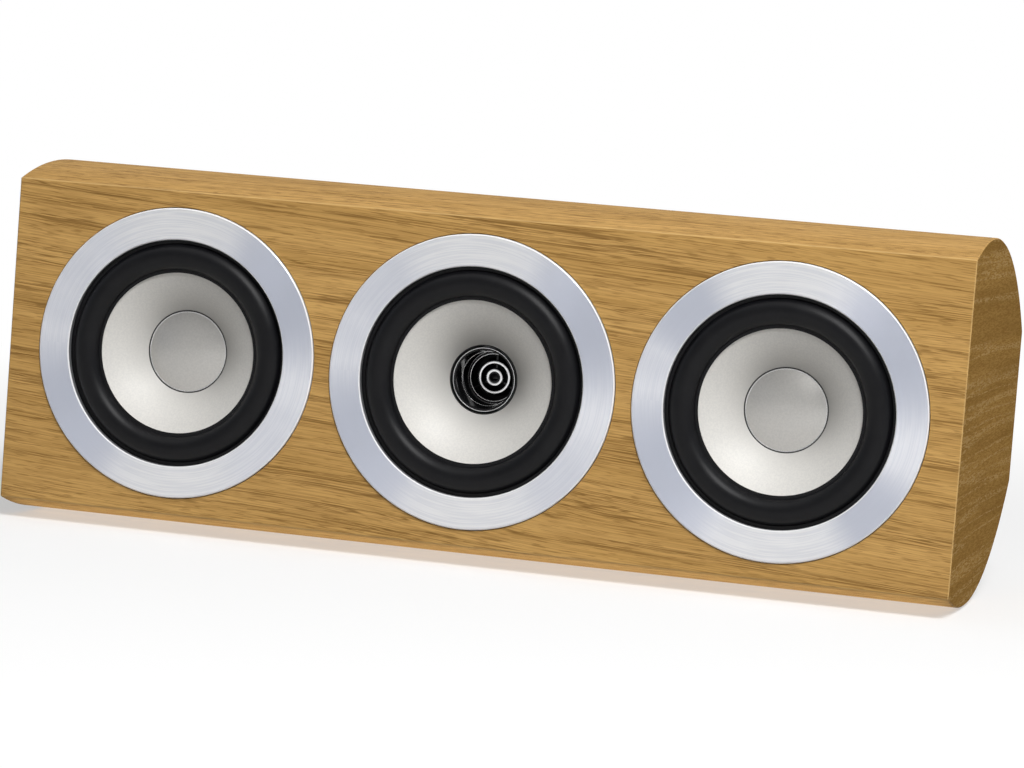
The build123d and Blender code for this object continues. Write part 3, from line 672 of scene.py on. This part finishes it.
@dataclass(frozen=True)
class Plain(Finish):
    """A finish of two tones that follow a shared pattern, with its own gloss and bump."""

    size: float
    dark: Colour
    pale: Colour
    rough: Pair
    relief: float
    depth: float
    kind: Pattern = Pattern.SPECKLE
    turn: Point = (0, 0, 0)
    metal: float = 0.0
    lacquer: float = 0.0
    gloss: float = 0.5
    tone_share: float = 0.55

    def paint(self, coat: Coat) -> None:
        """Builds the finish.

        Args:
            coat: the material's nodes.
        """
        marks = coat.pattern(self.kind, coat.sized(self.size, self.turn))
        tone = coat.span(coat.weigh(marks["Tone"], marks["Height"], self.tone_share), *WIDE_STEP)
        coat.shade(
            Base_Color=coat.mix(tone, self.dark, self.pale),
            Roughness=coat.span(tone, 0.0, 1.0, *self.rough),
            Metallic=self.metal,
            Coat_Weight=self.lacquer,
            Specular_IOR_Level=self.gloss,
            Normal=coat.bump(marks["Height"], self.relief, self.depth),
        )


VENEER = Veneer()
PEARL = PearlCoat(neck_shade_share=1.0)
CAP_SILVER = PearlCoat(
    "cap_silver", (0.585, 0.57, 0.543), (0.525, 0.514, 0.492), 0.82, (0.31, 0.37),
    relief=0.02, crest_radius=2.4,
)

# Plain finishes, in the order of their fields: name, size, dark, pale, rough, relief, depth.
ROLL_RUBBER = Plain(
    "roll_rubber", 0.35, (0.003, 0.003, 0.004), (0.006, 0.006, 0.007), (0.34, 0.4), 0.08, 0.02, gloss=0.22,
)
FOOT_RUBBER = Plain("foot_rubber", 0.8, (0.014, 0.014, 0.015), (0.03, 0.03, 0.031), (0.6, 0.75), 0.4, 0.08)
GLOSS_BLACK = Plain(
    "polished_black", 6.0, (0.003, 0.003, 0.0035), (0.006, 0.006, 0.0065), (0.05, 0.08), 0.01, 0.01,
    gloss=0.3,
)
MOULDED_BLACK = Plain(
    "moulded_black", 0.7, (0.012, 0.012, 0.013), (0.026, 0.026, 0.027), (0.45, 0.6), 0.35, 0.06,
)
CLEAR_RED = Plain(
    "clear_red", 5.0, (0.33, 0.008, 0.008), (0.46, 0.016, 0.014), (0.12, 0.22), 0.03, 0.02, lacquer=0.5,
)
BRIGHT_BRASS = Plain(
    "bright_brass", 1.2, (0.62, 0.43, 0.16), (0.78, 0.58, 0.26), (0.18, 0.3), 0.06, 0.02, metal=1.0,
)
# Bright metal for the phase plug's rings, and for the lines on the horn and the caps that are painted
# highlights.
BRIGHT_EDGE = Plain(
    "bright_edge", 0.9, (0.93, 0.93, 0.94), (0.98, 0.98, 0.98), (0.16, 0.24), 0.02, 0.01, metal=1.0,
)
ZINC_STEEL = Plain(
    "zinc_plating", 1.5, (0.4, 0.41, 0.43), (0.6, 0.61, 0.63), (0.3, 0.45), 0.08, 0.02, metal=1.0,
)
COATED_CASTING = Plain(
    "coated_casting", 0.9, (0.012, 0.012, 0.013), (0.03, 0.03, 0.032), (0.5, 0.65), 0.5, 0.1,
)
FERRITE = Plain("fired_ferrite", 1.1, (0.02, 0.02, 0.022), (0.05, 0.05, 0.053), (0.55, 0.7), 0.3, 0.06)
# The titanium dome deep in the horn is coloured near black: painted shade.
SHADE_BLACK_DOME = Plain(
    "shade_black_dome", 0.8, (0.004, 0.004, 0.005), (0.01, 0.01, 0.011), (0.35, 0.45), 0.04, 0.01, gloss=0.12,
)
COIL_WIRE = Plain(
    "coil_wire", 0.25, (0.26, 0.1, 0.04), (0.58, 0.27, 0.12), (0.3, 0.42), 0.6, 0.08,
    Pattern.WINDING, turn=(0, 0, -90), metal=0.9,
)
DARK_FORMER = Plain(
    "dark_former", 0.25, (0.004, 0.004, 0.004), (0.012, 0.012, 0.012), (0.45, 0.55), 0.4, 0.08,
    Pattern.WINDING, turn=(0, 0, -90),
)
INDUCTOR_WIRE = Plain(
    "inductor_wire", 0.9, (0.26, 0.1, 0.04), (0.58, 0.27, 0.12), (0.26, 0.38), 0.7, 0.2,
    Pattern.WINDING, metal=0.9,
)
SPIDER_CLOTH = Plain(
    "spider_weave", 0.6, (0.3, 0.2, 0.07), (0.52, 0.38, 0.16), (0.8, 0.9), 0.6, 0.15,
    Pattern.WEAVE, gloss=0.2,
)
FOAM = Plain("cell_foam", 0.9, (0.015, 0.015, 0.016), (0.04, 0.04, 0.042), (0.85, 0.95), 0.7, 0.25, gloss=0.2)
LAMINATE = Plain(
    "board_laminate", 3.0, (0.03, 0.12, 0.04), (0.1, 0.28, 0.1), (0.3, 0.4), 0.3, 0.05, Pattern.TRACE,
)
FILM_WRAP = Plain("film_wrap", 2.0, (0.05, 0.07, 0.26), (0.09, 0.12, 0.36), (0.3, 0.42), 0.1, 0.05)
LEAD_JACKET = Plain("lead_vinyl", 1.2, (0.02, 0.02, 0.022), (0.04, 0.04, 0.045), (0.42, 0.52), 0.1, 0.03)
WADDING = Plain(
    "white_wadding", 2.0, (0.55, 0.55, 0.53), (0.8, 0.8, 0.78), (0.92, 0.98), 0.9, 0.8,
    Pattern.FIBRE, gloss=0.1,
)
FIBREBOARD = Plain(
    "raw_fibreboard", 1.4, (0.24, 0.16, 0.09), (0.38, 0.27, 0.17), (0.75, 0.88), 0.3, 0.1,
    Pattern.FIBRE, gloss=0.25,
)
GLUE_BEAD = Plain(
    "glue_bead", 0.8, (0.035, 0.035, 0.035), (0.06, 0.06, 0.058), (0.5, 0.6), 0.1, 0.03, gloss=0.2,
)


def deselect() -> None:
    """Deselects everything."""
    bpy.ops.object.select_all(action="DESELECT")


def take(piece: Piece) -> None:
    """Makes a piece the only selected and active one.

    Args:
        piece: the piece.
    """
    deselect()
    piece.select_set(True)
    bpy.context.view_layer.objects.active = piece


def settle(name: str) -> Piece:
    """Names the active piece and puts its place in its mesh.

    Args:
        name: the piece's name.

    Returns:
        The piece.
    """
    piece = bpy.context.object
    piece.name = name
    piece.data.name = name
    bpy.ops.object.transform_apply(location=True, rotation=True, scale=True)
    return piece


@contextmanager
def editing(
    piece: Piece, wanted: Callable[[Vector], bool] | None = None, pick: Pick = Pick.VERTICES
) -> Iterator[None]:
    """Opens the active piece for a with block, and closes it after the block.

    Args:
        piece: the piece.
        wanted: says of a vertex's place or a face's centre whether it is selected. Without it, all are.
        pick: what is selected.

    Yields:
        Nothing, while the piece is open.
    """
    bpy.ops.object.mode_set(mode="EDIT")
    bpy.ops.mesh.select_mode(type=pick.value)
    bpy.ops.mesh.select_all(action="DESELECT" if wanted else "SELECT")
    if wanted:
        bpy.ops.object.mode_set(mode="OBJECT")
        for vertex in piece.data.vertices if pick is Pick.VERTICES else ():
            vertex.select = wanted(vertex.co)
        for face in piece.data.polygons if pick is Pick.FACES else ():
            face.select = wanted(face.center)
        bpy.ops.object.mode_set(mode="EDIT")
    yield
    bpy.ops.object.mode_set(mode="OBJECT")


def modify(piece: Piece, kind: str, **settings: object) -> None:
    """Adds a modifier to a piece and applies it.

    Args:
        piece: the piece.
        kind: the modifier's type.
        settings: the modifier's own properties.
    """
    take(piece)
    modifier = piece.modifiers.new(kind.lower(), kind)
    for key, value in settings.items():
        setattr(modifier, key, value)
    bpy.ops.object.modifier_apply(modifier=modifier.name)


def smooth(piece: Piece, sharp: float) -> None:
    """Shades a piece smooth, but for the edges from a sharp angle in degrees."""
    take(piece)
    bpy.ops.object.shade_smooth_by_angle(angle=math.radians(sharp))


@dataclass(frozen=True)
class EdgeLine:
    """A thin flattened bead round an axis along Y. Sizes are in millimetres."""

    name: str
    radius: float
    depth: float
    half_width: float
    half_height: float
    finish: Finish = BRIGHT_EDGE
    slot: str = "zinc_steel"
    steps: int = 96
    width_steps: int = 12
    sharp: float = 60.0

    def fit(self, axis: Vector, tip: float, body: str) -> None:
        """Models the bead, dresses it and lets it ride on a body.

        Args:
            axis: a place on the axis.
            tip: where the depth is counted from, in metres.
            body: the body's name.
        """
        centre = Vector((axis.x, tip + self.depth * MM, axis.z))
        deselect()
        bpy.ops.mesh.primitive_torus_add(
            location=centre, rotation=(math.radians(90), 0, 0), major_radius=self.radius * MM,
            minor_radius=self.half_width * MM, major_segments=self.steps, minor_segments=self.width_steps,
        )
        bead = settle(self.name)
        with editing(bead):
            bpy.ops.transform.resize(value=(1, self.half_height / self.half_width, 1), center_override=centre)
            bpy.ops.mesh.normals_make_consistent(inside=False)
        smooth(bead, self.sharp)
        self.finish.dress(bead)
        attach(bead, body)
        log.info("%s: radius %.1f mm", bead.name, self.radius)


def middle(name: str) -> Vector:
    """Gives the middle of a CAD node's box."""
    low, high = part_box(name)
    return (low + high) / 2


@dataclass
class Cabinet:
    """The veneered box, its inner braces and its feet."""

    panels: tuple[str, ...] = (
        "front_baffle", "top_panel", "bottom_panel", "left_end_panel", "right_end_panel", "rear_panel",
    )

    def dress(self) -> None:
        """Puts the finishes on the cabinet's nodes."""
        VENEER.cover(*self.panels)
        FIBREBOARD.cover("left_brace", "right_brace")
        FOOT_RUBBER.cover("left_support_foot", "right_support_foot")
        log.info("cabinet: %d veneered panels", len(self.panels))


@dataclass
class Driver:
    """One driver behind its ring. Sizes are in millimetres."""

    side: Side
    cross_sheen: float
    lip_depth: float = 2.2
    roll_width: float = 11.7
    roll_height: float = 4.38
    roll_inner: float = 36.8
    lip_inner: float = 35.5
    lip_outer: float = 52.4
    lip_thickness: float = 0.78
    arc_steps: int = 96
    round_steps: int = 160
    roll_sharp: float = 40.0
    mouth_radius: float = 35.45
    seam_radius: float = 18.25
    cap_edge_radius: float = 17.7

    @property
    def centre(self) -> Vector:
        """The driver's axis where it crosses the front of the surround's lip."""
        axis = middle(self.part("trim_ring"))
        return Vector((axis.x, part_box("front_baffle")[0].y + self.lip_depth * MM, axis.z))

    @property
    def cone_body(self) -> str:
        """The body that the cone rides on."""
        return self.part("moving_cone")

    @property
    def has_cap(self) -> bool:
        """Whether a dust cap closes the cone; the horn takes its place in the middle."""
        return self.side is not Side.MIDDLE

    def part(self, name: str) -> str:
        """Gives the full name of one of the driver's parts."""
        return f"{self.side.value}_{name}"

    def build(self) -> None:
        """Models the driver's own pieces."""
        self.build_surround()
        self.build_edges()

    def build_surround(self) -> None:
        """Models the half roll: an arc with a lip on each side, spun about the axis and thickened."""
        centre = self.centre
        half = self.roll_width / 2
        arc_radius = (half**2 + self.roll_height**2) / (2 * self.roll_height)
        crest = self.roll_inner + half
        arc_middle = centre + Vector((crest, arc_radius - self.roll_height, 0)) * MM
        deselect()
        bpy.ops.mesh.primitive_circle_add(
            vertices=self.arc_steps, radius=arc_radius * MM, location=arc_middle,
        )
        roll = settle(self.part("surround_roll"))
        with editing(roll):
            bpy.ops.mesh.bisect(plane_co=centre, plane_no=(0, 1, 0), clear_outer=True)
        for reach, side in ((self.lip_outer, half), (self.lip_inner, -half)):
            foot = centre.x + (crest + side) * MM
            step = centre.x + reach * MM - foot
            with editing(roll, lambda co: abs(co.x - foot) < TINY and abs(co.y - centre.y) < TINY):
                bpy.ops.mesh.extrude_vertices_move(TRANSFORM_OT_translate={"value": (step, 0, 0)})
        with editing(roll):
            bpy.ops.mesh.spin(steps=self.round_steps, angle=2 * math.pi, center=centre, axis=(0, 1, 0))
            bpy.ops.mesh.select_all(action="SELECT")
            bpy.ops.mesh.remove_doubles(threshold=TINY)
            bpy.ops.mesh.normals_make_consistent(inside=False)
        if sum(face.normal.y * face.area for face in roll.data.polygons) > 0:
            with editing(roll):
                bpy.ops.mesh.flip_normals()
        modify(roll, "SOLIDIFY", thickness=self.lip_thickness * MM, offset=-1)
        smooth(roll, self.roll_sharp)
        ROLL_RUBBER.dress(roll)
        self.hang_between(roll)
        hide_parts(self.part("surround"))
        log.info("%s: %d faces", roll.name, len(roll.data.polygons))

    def hang_between(self, roll: Piece) -> None:
        """Puts the roll's place in its mesh.

        Args:
            roll: the surround's piece.
        """
        self.cone_body
        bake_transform(roll)

    def build_edges(self) -> None:
        """Models the lacquered bead round the cone's mouth, and the dark seam of its cap with a bright line
        inside it as a painted highlight.
        """
        centre, slot = self.centre, "pearl_cone"
        mouth = EdgeLine(self.part("cone_edge"), self.mouth_radius, 0.45, 0.16, 0.32, PEARL, slot)
        mouth.fit(centre, centre.y, self.cone_body)
        if self.has_cap:
            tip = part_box(self.part("dust_cap"))[0].y
            seam = EdgeLine(self.part("cap_seam"), self.seam_radius, 3.0, 0.27, 0.25, GLUE_BEAD, slot)
            # A bright metal line on the cap's rim: a painted highlight.
            edge = EdgeLine(self.part("cap_edge_glint"), self.cap_edge_radius, 3.0, 0.16, 0.12, BRIGHT_EDGE, slot)
            for line in (seam, edge):
                line.fit(centre, tip, self.cone_body)

    def dress(self) -> None:
        """Puts the finishes on the driver's nodes."""
        ring = self.part("trim_ring")
        axis = middle(ring)
        BrushedRing(f"brushed_ring_{self.side.value}", axis.x, axis.z, self.cross_sheen).cover(ring)
        PEARL.cover(self.part("cone"))
        if self.has_cap:
            CAP_SILVER.cover(self.part("dust_cap"))
        COATED_CASTING.cover(self.part("basket"))
        coil = COIL_WIRE if self.has_cap else DARK_FORMER
        coil.cover(self.part("voice_coil"))
        SPIDER_CLOTH.cover(self.part("spider"))
        ZINC_STEEL.cover(self.part("top_plate"), self.part("yoke"))
        FERRITE.cover(self.part("magnet"))
        log.info("%s driver dressed", self.side.value)


@dataclass
class HornUnit:
    """The high-frequency horn inside the middle cone."""

    edges: tuple[EdgeLine, ...] = (
        EdgeLine("plug_ring_edge", 6.75, 1.6, 0.62, 0.14),
        EdgeLine("plug_bullet_edge", 3.15, 1.6, 0.68, 0.14),
        # Bright metal lines where the black horn only catches glints: painted highlights.
        EdgeLine("horn_throat_glint", 10.5, 0.2, 0.17, 0.12),
        EdgeLine("horn_wall_glint", 11.96, -8.1, 0.09, 0.16),
        EdgeLine("horn_rim_glint", 13.9, -15.67, 0.16, 0.12),
    )

    def build(self) -> None:
        """Models the bright edges of the phase plug, and bright lines on the horn's throat, wall and rim that
        are painted highlights.
        """
        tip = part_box("hf_phase_plug")[0].y
        for edge in self.edges:
            edge.fit(middle("middle_trim_ring"), tip, "cabinet")

    def dress(self) -> None:
        """Puts the finishes on the horn's nodes."""
        GLOSS_BLACK.cover("hf_waveguide", "hf_phase_plug")
        # Near-black dome: painted shade deep in the horn.
        SHADE_BLACK_DOME.cover("hf_diaphragm")
        COATED_CASTING.cover("hf_rear_cup", "hf_magnet")
        log.info("horn unit dressed")


@dataclass
class Screw:
    """A countersunk screw with a cross recess. Sizes are in millimetres."""

    head_radius: float = 3.4
    head_depth: float = 1.8
    head_rim: float = 0.5
    head_rise: float = 0.15
    shank_radius: float = 1.7
    length: float = 13.5
    point: float = 2.2
    point_share: float = 0.2
    recess_length: float = 3.8
    recess_width: float = 0.85
    recess_depth: float = 1.1
    recess_share: float = 0.7
    sides: int = 40
    sharp: float = 30.0

    def build(self) -> Piece:
        """Models the screw at the origin, with its head towards the front.

        Returns:
            The piece.
        """
        deselect()
        bpy.ops.mesh.primitive_cone_add(
            vertices=self.sides, radius1=self.head_radius * MM, radius2=self.shank_radius * MM,
            depth=self.head_depth * MM, location=(0, self.head_depth / 2 * MM, 0),
            rotation=(math.radians(-90), 0, 0),
        )
        screw = settle("screw")
        with editing(screw, lambda co: co.y > self.head_depth * MM - TINY, Pick.FACES):
            for step in (self.length - self.head_depth - self.point, self.point):
                bpy.ops.mesh.extrude_region_move(TRANSFORM_OT_translate={"value": (0, step * MM, 0)})
            bpy.ops.transform.resize(
                value=(self.point_share, 1, self.point_share), center_override=(0, self.length * MM, 0),
            )
        with editing(screw, lambda co: co.y < TINY, Pick.FACES):
            bpy.ops.mesh.inset(thickness=self.head_rim * MM)
            bpy.ops.transform.translate(value=(0, -self.head_rise * MM, 0))
        for turn in (0, 90):
            self.cut_recess(screw, turn)
        smooth(screw, self.sharp)
        ZINC_STEEL.dress(screw)
        return screw

    def cut_recess(self, screw: Piece, turn: float) -> None:
        """Cuts one arm of the cross into the head.

        Args:
            screw: the screw.
            turn: how far the arm is turned, in degrees.
        """
        deselect()
        bpy.ops.mesh.primitive_cube_add(
            size=MM, scale=(self.recess_length, 2 * self.recess_depth, self.recess_width),
            rotation=(0, math.radians(turn), 0),
        )
        cutter = settle("recess_cutter")
        with editing(cutter, lambda co: co.y > 0, Pick.FACES):
            bpy.ops.transform.resize(
                value=(self.recess_share, 1, self.recess_share), center_override=(0, 0, 0),
            )
        modify(screw, "BOOLEAN", operation="DIFFERENCE", object=cutter, solver="EXACT")
        bpy.data.objects.remove(cutter)


@dataclass
class RearFittings:
    """Terminals, ports, inserts and all mounting screws. Sizes are in millimetres, turns in degrees."""

    driver_screw_circle: float = 58.7
    driver_screw_depth: float = 2.2
    driver_screw_turns: tuple[float, ...] = (45, 135, 225, 315)
    terminal_screw_x: float = 41.4
    terminal_screw_z: float = 21.4
    screw_sink: float = 0.2
    recess_turn: float = 17.0

    def build(self) -> None:
        """Models one screw and copies it to each of its places."""
        model = Screw().build()
        places = self.screw_places()
        for number, (place, turn) in enumerate(places, 1):
            take(model)
            bpy.ops.object.duplicate(linked=False)
            copy = bpy.context.object
            copy.location = place
            copy.rotation_euler = (0, math.radians(self.recess_turn * number), math.radians(turn))
            settle(f"mounting_screw_{number:02d}")
            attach(copy, "cabinet")
            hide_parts("mounting_screws")
        bpy.data.objects.remove(model)
        log.info("mounting screws: %d", len(places))

    def screw_places(self) -> list[tuple[Vector, float]]:
        """Lists where the screws' heads are.

        Returns:
            Each head's middle, and its turn about the vertical in degrees.
        """
        places = []
        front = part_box("front_baffle")[0].y + self.driver_screw_depth * MM
        for side in Side:
            axis = middle(f"{side.value}_trim_ring")
            for angle in map(math.radians, self.driver_screw_turns):
                reach = Vector((math.cos(angle), 0, math.sin(angle))) * self.driver_screw_circle * MM
                places.append((Vector((axis.x, front, axis.z)) + reach, 0.0))
        panel = middle("terminal_panel")
        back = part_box("terminal_panel")[1].y - self.screw_sink * MM
        for x in (-self.terminal_screw_x, self.terminal_screw_x):
            for z in (-self.terminal_screw_z, self.terminal_screw_z):
                places.append((Vector((panel.x + x * MM, back, panel.z + z * MM)), 180.0))
        return places

    def dress(self) -> None:
        """Puts the finishes on the nodes at the back."""
        MOULDED_BLACK.cover("terminal_panel", "left_port_tube", "right_port_tube")
        BRIGHT_BRASS.cover("binding_posts", "bracket_inserts", "red_post_insert", "black_post_insert")
        CLEAR_RED.cover("red_post_cap")
        GLOSS_BLACK.cover("black_post_cap")
        log.info("rear fittings dressed")


@dataclass
class InnerWorks:
    """The crossover, its leads, the gaskets and the damping, which the cabinet hides."""

    def dress(self) -> None:
        """Puts the finishes on the nodes inside."""
        LAMINATE.cover("crossover_board")
        INDUCTOR_WIRE.cover("crossover_inductors")
        FILM_WRAP.cover("crossover_capacitors")
        LEAD_JACKET.cover("internal_leads")
        WADDING.cover("damping_sheets")
        FOAM.cover("driver_gaskets")
        log.info("inner works dressed")


@dataclass(frozen=True)
class SoftBox:
    """A lamp behind a diffuser, out of the camera's sight. Sizes are in metres."""

    name: str
    place: Point
    size: Pair
    power: float
    matt: bool = True
    glossy: bool = True
    aim: Point = (0.0, 0.0, 0.08)

    def light(self) -> None:
        """Sets the lamp up."""
        lamp = bpy.data.lights.new(self.name, "AREA")
        lamp.shape = "RECTANGLE"
        lamp.size, lamp.size_y = self.size
        lamp.energy = self.power
        made = bpy.data.objects.new(self.name, lamp)
        made.location = self.place
        made.rotation_euler = (Vector(self.aim) - Vector(self.place)).to_track_quat("-Z", "Y").to_euler()
        made.visible_camera = False
        made.visible_diffuse = self.matt
        made.visible_glossy = self.glossy
        bpy.context.scene.collection.objects.link(made)


@dataclass
class Studio:
    """Floor, light and camera. Sizes are in metres, but for the camera's in millimetres."""

    lamps: tuple[SoftBox, ...] = (
        SoftBox("key_light", (1.12, -1.64, 1.98), (1.2, 1.2), 78.0, glossy=False),
        SoftBox("key_glint", (1.12, -1.64, 1.98), (0.7, 0.7), 46.0, matt=False),
        SoftBox(
            "table_light", (0.0, -0.042, 0.0006), (0.424, 0.084), 0.1, glossy=False, aim=(0.0, -0.042, 1.0),
        ),
    )
    ambient: float = 0.25
    front_shade: float = 0.34
    horizon: float = 0.55
    side_tint: Colour = (0.86, 0.91, 1.0)
    sky_behind: Pair = (-0.5, 0.1)
    sky_above: Pair = (0.5, 0.85)
    sky_front: Pair = (0.0, 0.4)
    sky_aside: Pair = (0.4, 0.9)
    bounce: float = 0.36
    gloss_bounce: float = 0.44
    floor_glow: float = 0.45
    floor_fade: Pair = (0.2, 1.0)
    floor_behind: Pair = (-0.6, 0.2)
    floor_size: float = 40.0
    floor_tone: float = 0.92
    floor_rough: float = 0.9
    camera_place: Point = (0.43457, -1.64138, 0.21109)
    camera_turn: Point = (85.39667, -4.36334, 15.2928)
    lens: float = 132.33
    sensor: float = 36.0
    nearest: float = 0.05

    def build(self) -> None:
        """Sets up the studio."""
        self.lay_floor()
        self.light_world()
        for lamp in self.lamps:
            lamp.light()
        self.stand_camera()
        bpy.context.scene.view_settings.view_transform = "Standard"
        log.info("studio: %d lamps", len(self.lamps))

    def lay_floor(self) -> None:
        """Lays a pale floor that fades into the white background."""
        deselect()
        bpy.ops.mesh.primitive_plane_add(size=self.floor_size)
        floor = settle("studio_floor")
        coat = Coat("studio_floor")
        seen, mirrored = coat.rays()
        tone = coat.calc("ADD", self.bounce, coat.times(mirrored, self.gloss_bounce))
        coat.shade(
            Base_Color=coat.mix_numbers(seen, tone, self.floor_tone),
            Roughness=self.floor_rough,
            Specular_IOR_Level=0.0,
        )
        behind = coat.span(coat.parts(coat.start)[1], *self.floor_behind)
        shown = coat.largest(seen, coat.times(mirrored, behind))
        share = coat.times(coat.span(coat.length(coat.start), *self.floor_fade, self.floor_glow, 1.0), shown)
        white = coat.node("Emission", {"Color": WHITE, "Strength": 1.0})
        mixed = coat.node("MixShader", {0: share, 1: coat.shader.outputs[0], 2: white.outputs[0]})
        coat.fill(coat.tree.nodes["Material Output"], {"Surface": mixed.outputs[0]})
        floor.data.materials.append(coat.material)

    def light_world(self) -> None:
        """Gives the room an even light, a white background, and a dim side behind the camera for gloss."""
        world = bpy.data.worlds.new("studio_world")
        world.use_nodes = True
        bpy.context.scene.world = world
        sheet = NodeSheet(world.node_tree)
        seen, mirrored = sheet.rays()
        x, y, z = sheet.parts(sheet.node("TexCoord").outputs["Generated"])
        bright = sheet.largest(
            sheet.span(y, *self.sky_behind),
            sheet.span(z, *self.sky_above),
            sheet.span(z, *self.sky_front, self.horizon, self.front_shade),
        )
        lit = sheet.mix_numbers(mirrored, self.ambient, bright)
        cool = sheet.times(sheet.span(sheet.apart(x), *self.sky_aside), mirrored)
        feeds = {"Color": sheet.mix(cool, WHITE, self.side_tint), "Strength": sheet.largest(lit, seen)}
        sheet.fill(world.node_tree.nodes["Background"], feeds)

    def stand_camera(self) -> None:
        """Stands the camera where the photograph was taken from."""
        optics = bpy.data.cameras.new("studio_camera")
        optics.lens = self.lens
        optics.sensor_width = self.sensor
        optics.sensor_fit = "HORIZONTAL"
        optics.clip_start = self.nearest
        made = bpy.data.objects.new("studio_camera", optics)
        made.location = self.camera_place
        made.rotation_euler = [math.radians(angle) for angle in self.camera_turn]
        bpy.context.scene.collection.objects.link(made)
        bpy.context.scene.camera = made


def main() -> None:
    """Builds and dresses the speaker, and sets up the studio round it."""
    logging.basicConfig(level=logging.INFO, format="%(message)s")
    Cabinet().dress()
    for side, sheen in zip(Side, CROSS_SHEENS):
        driver = Driver(side, sheen)
        driver.build()
        driver.dress()
    for unit in (HornUnit(), RearFittings()):
        unit.build()
        unit.dress()
    InnerWorks().dress()
    Studio().build()


if __name__ == "__main__":
    main()
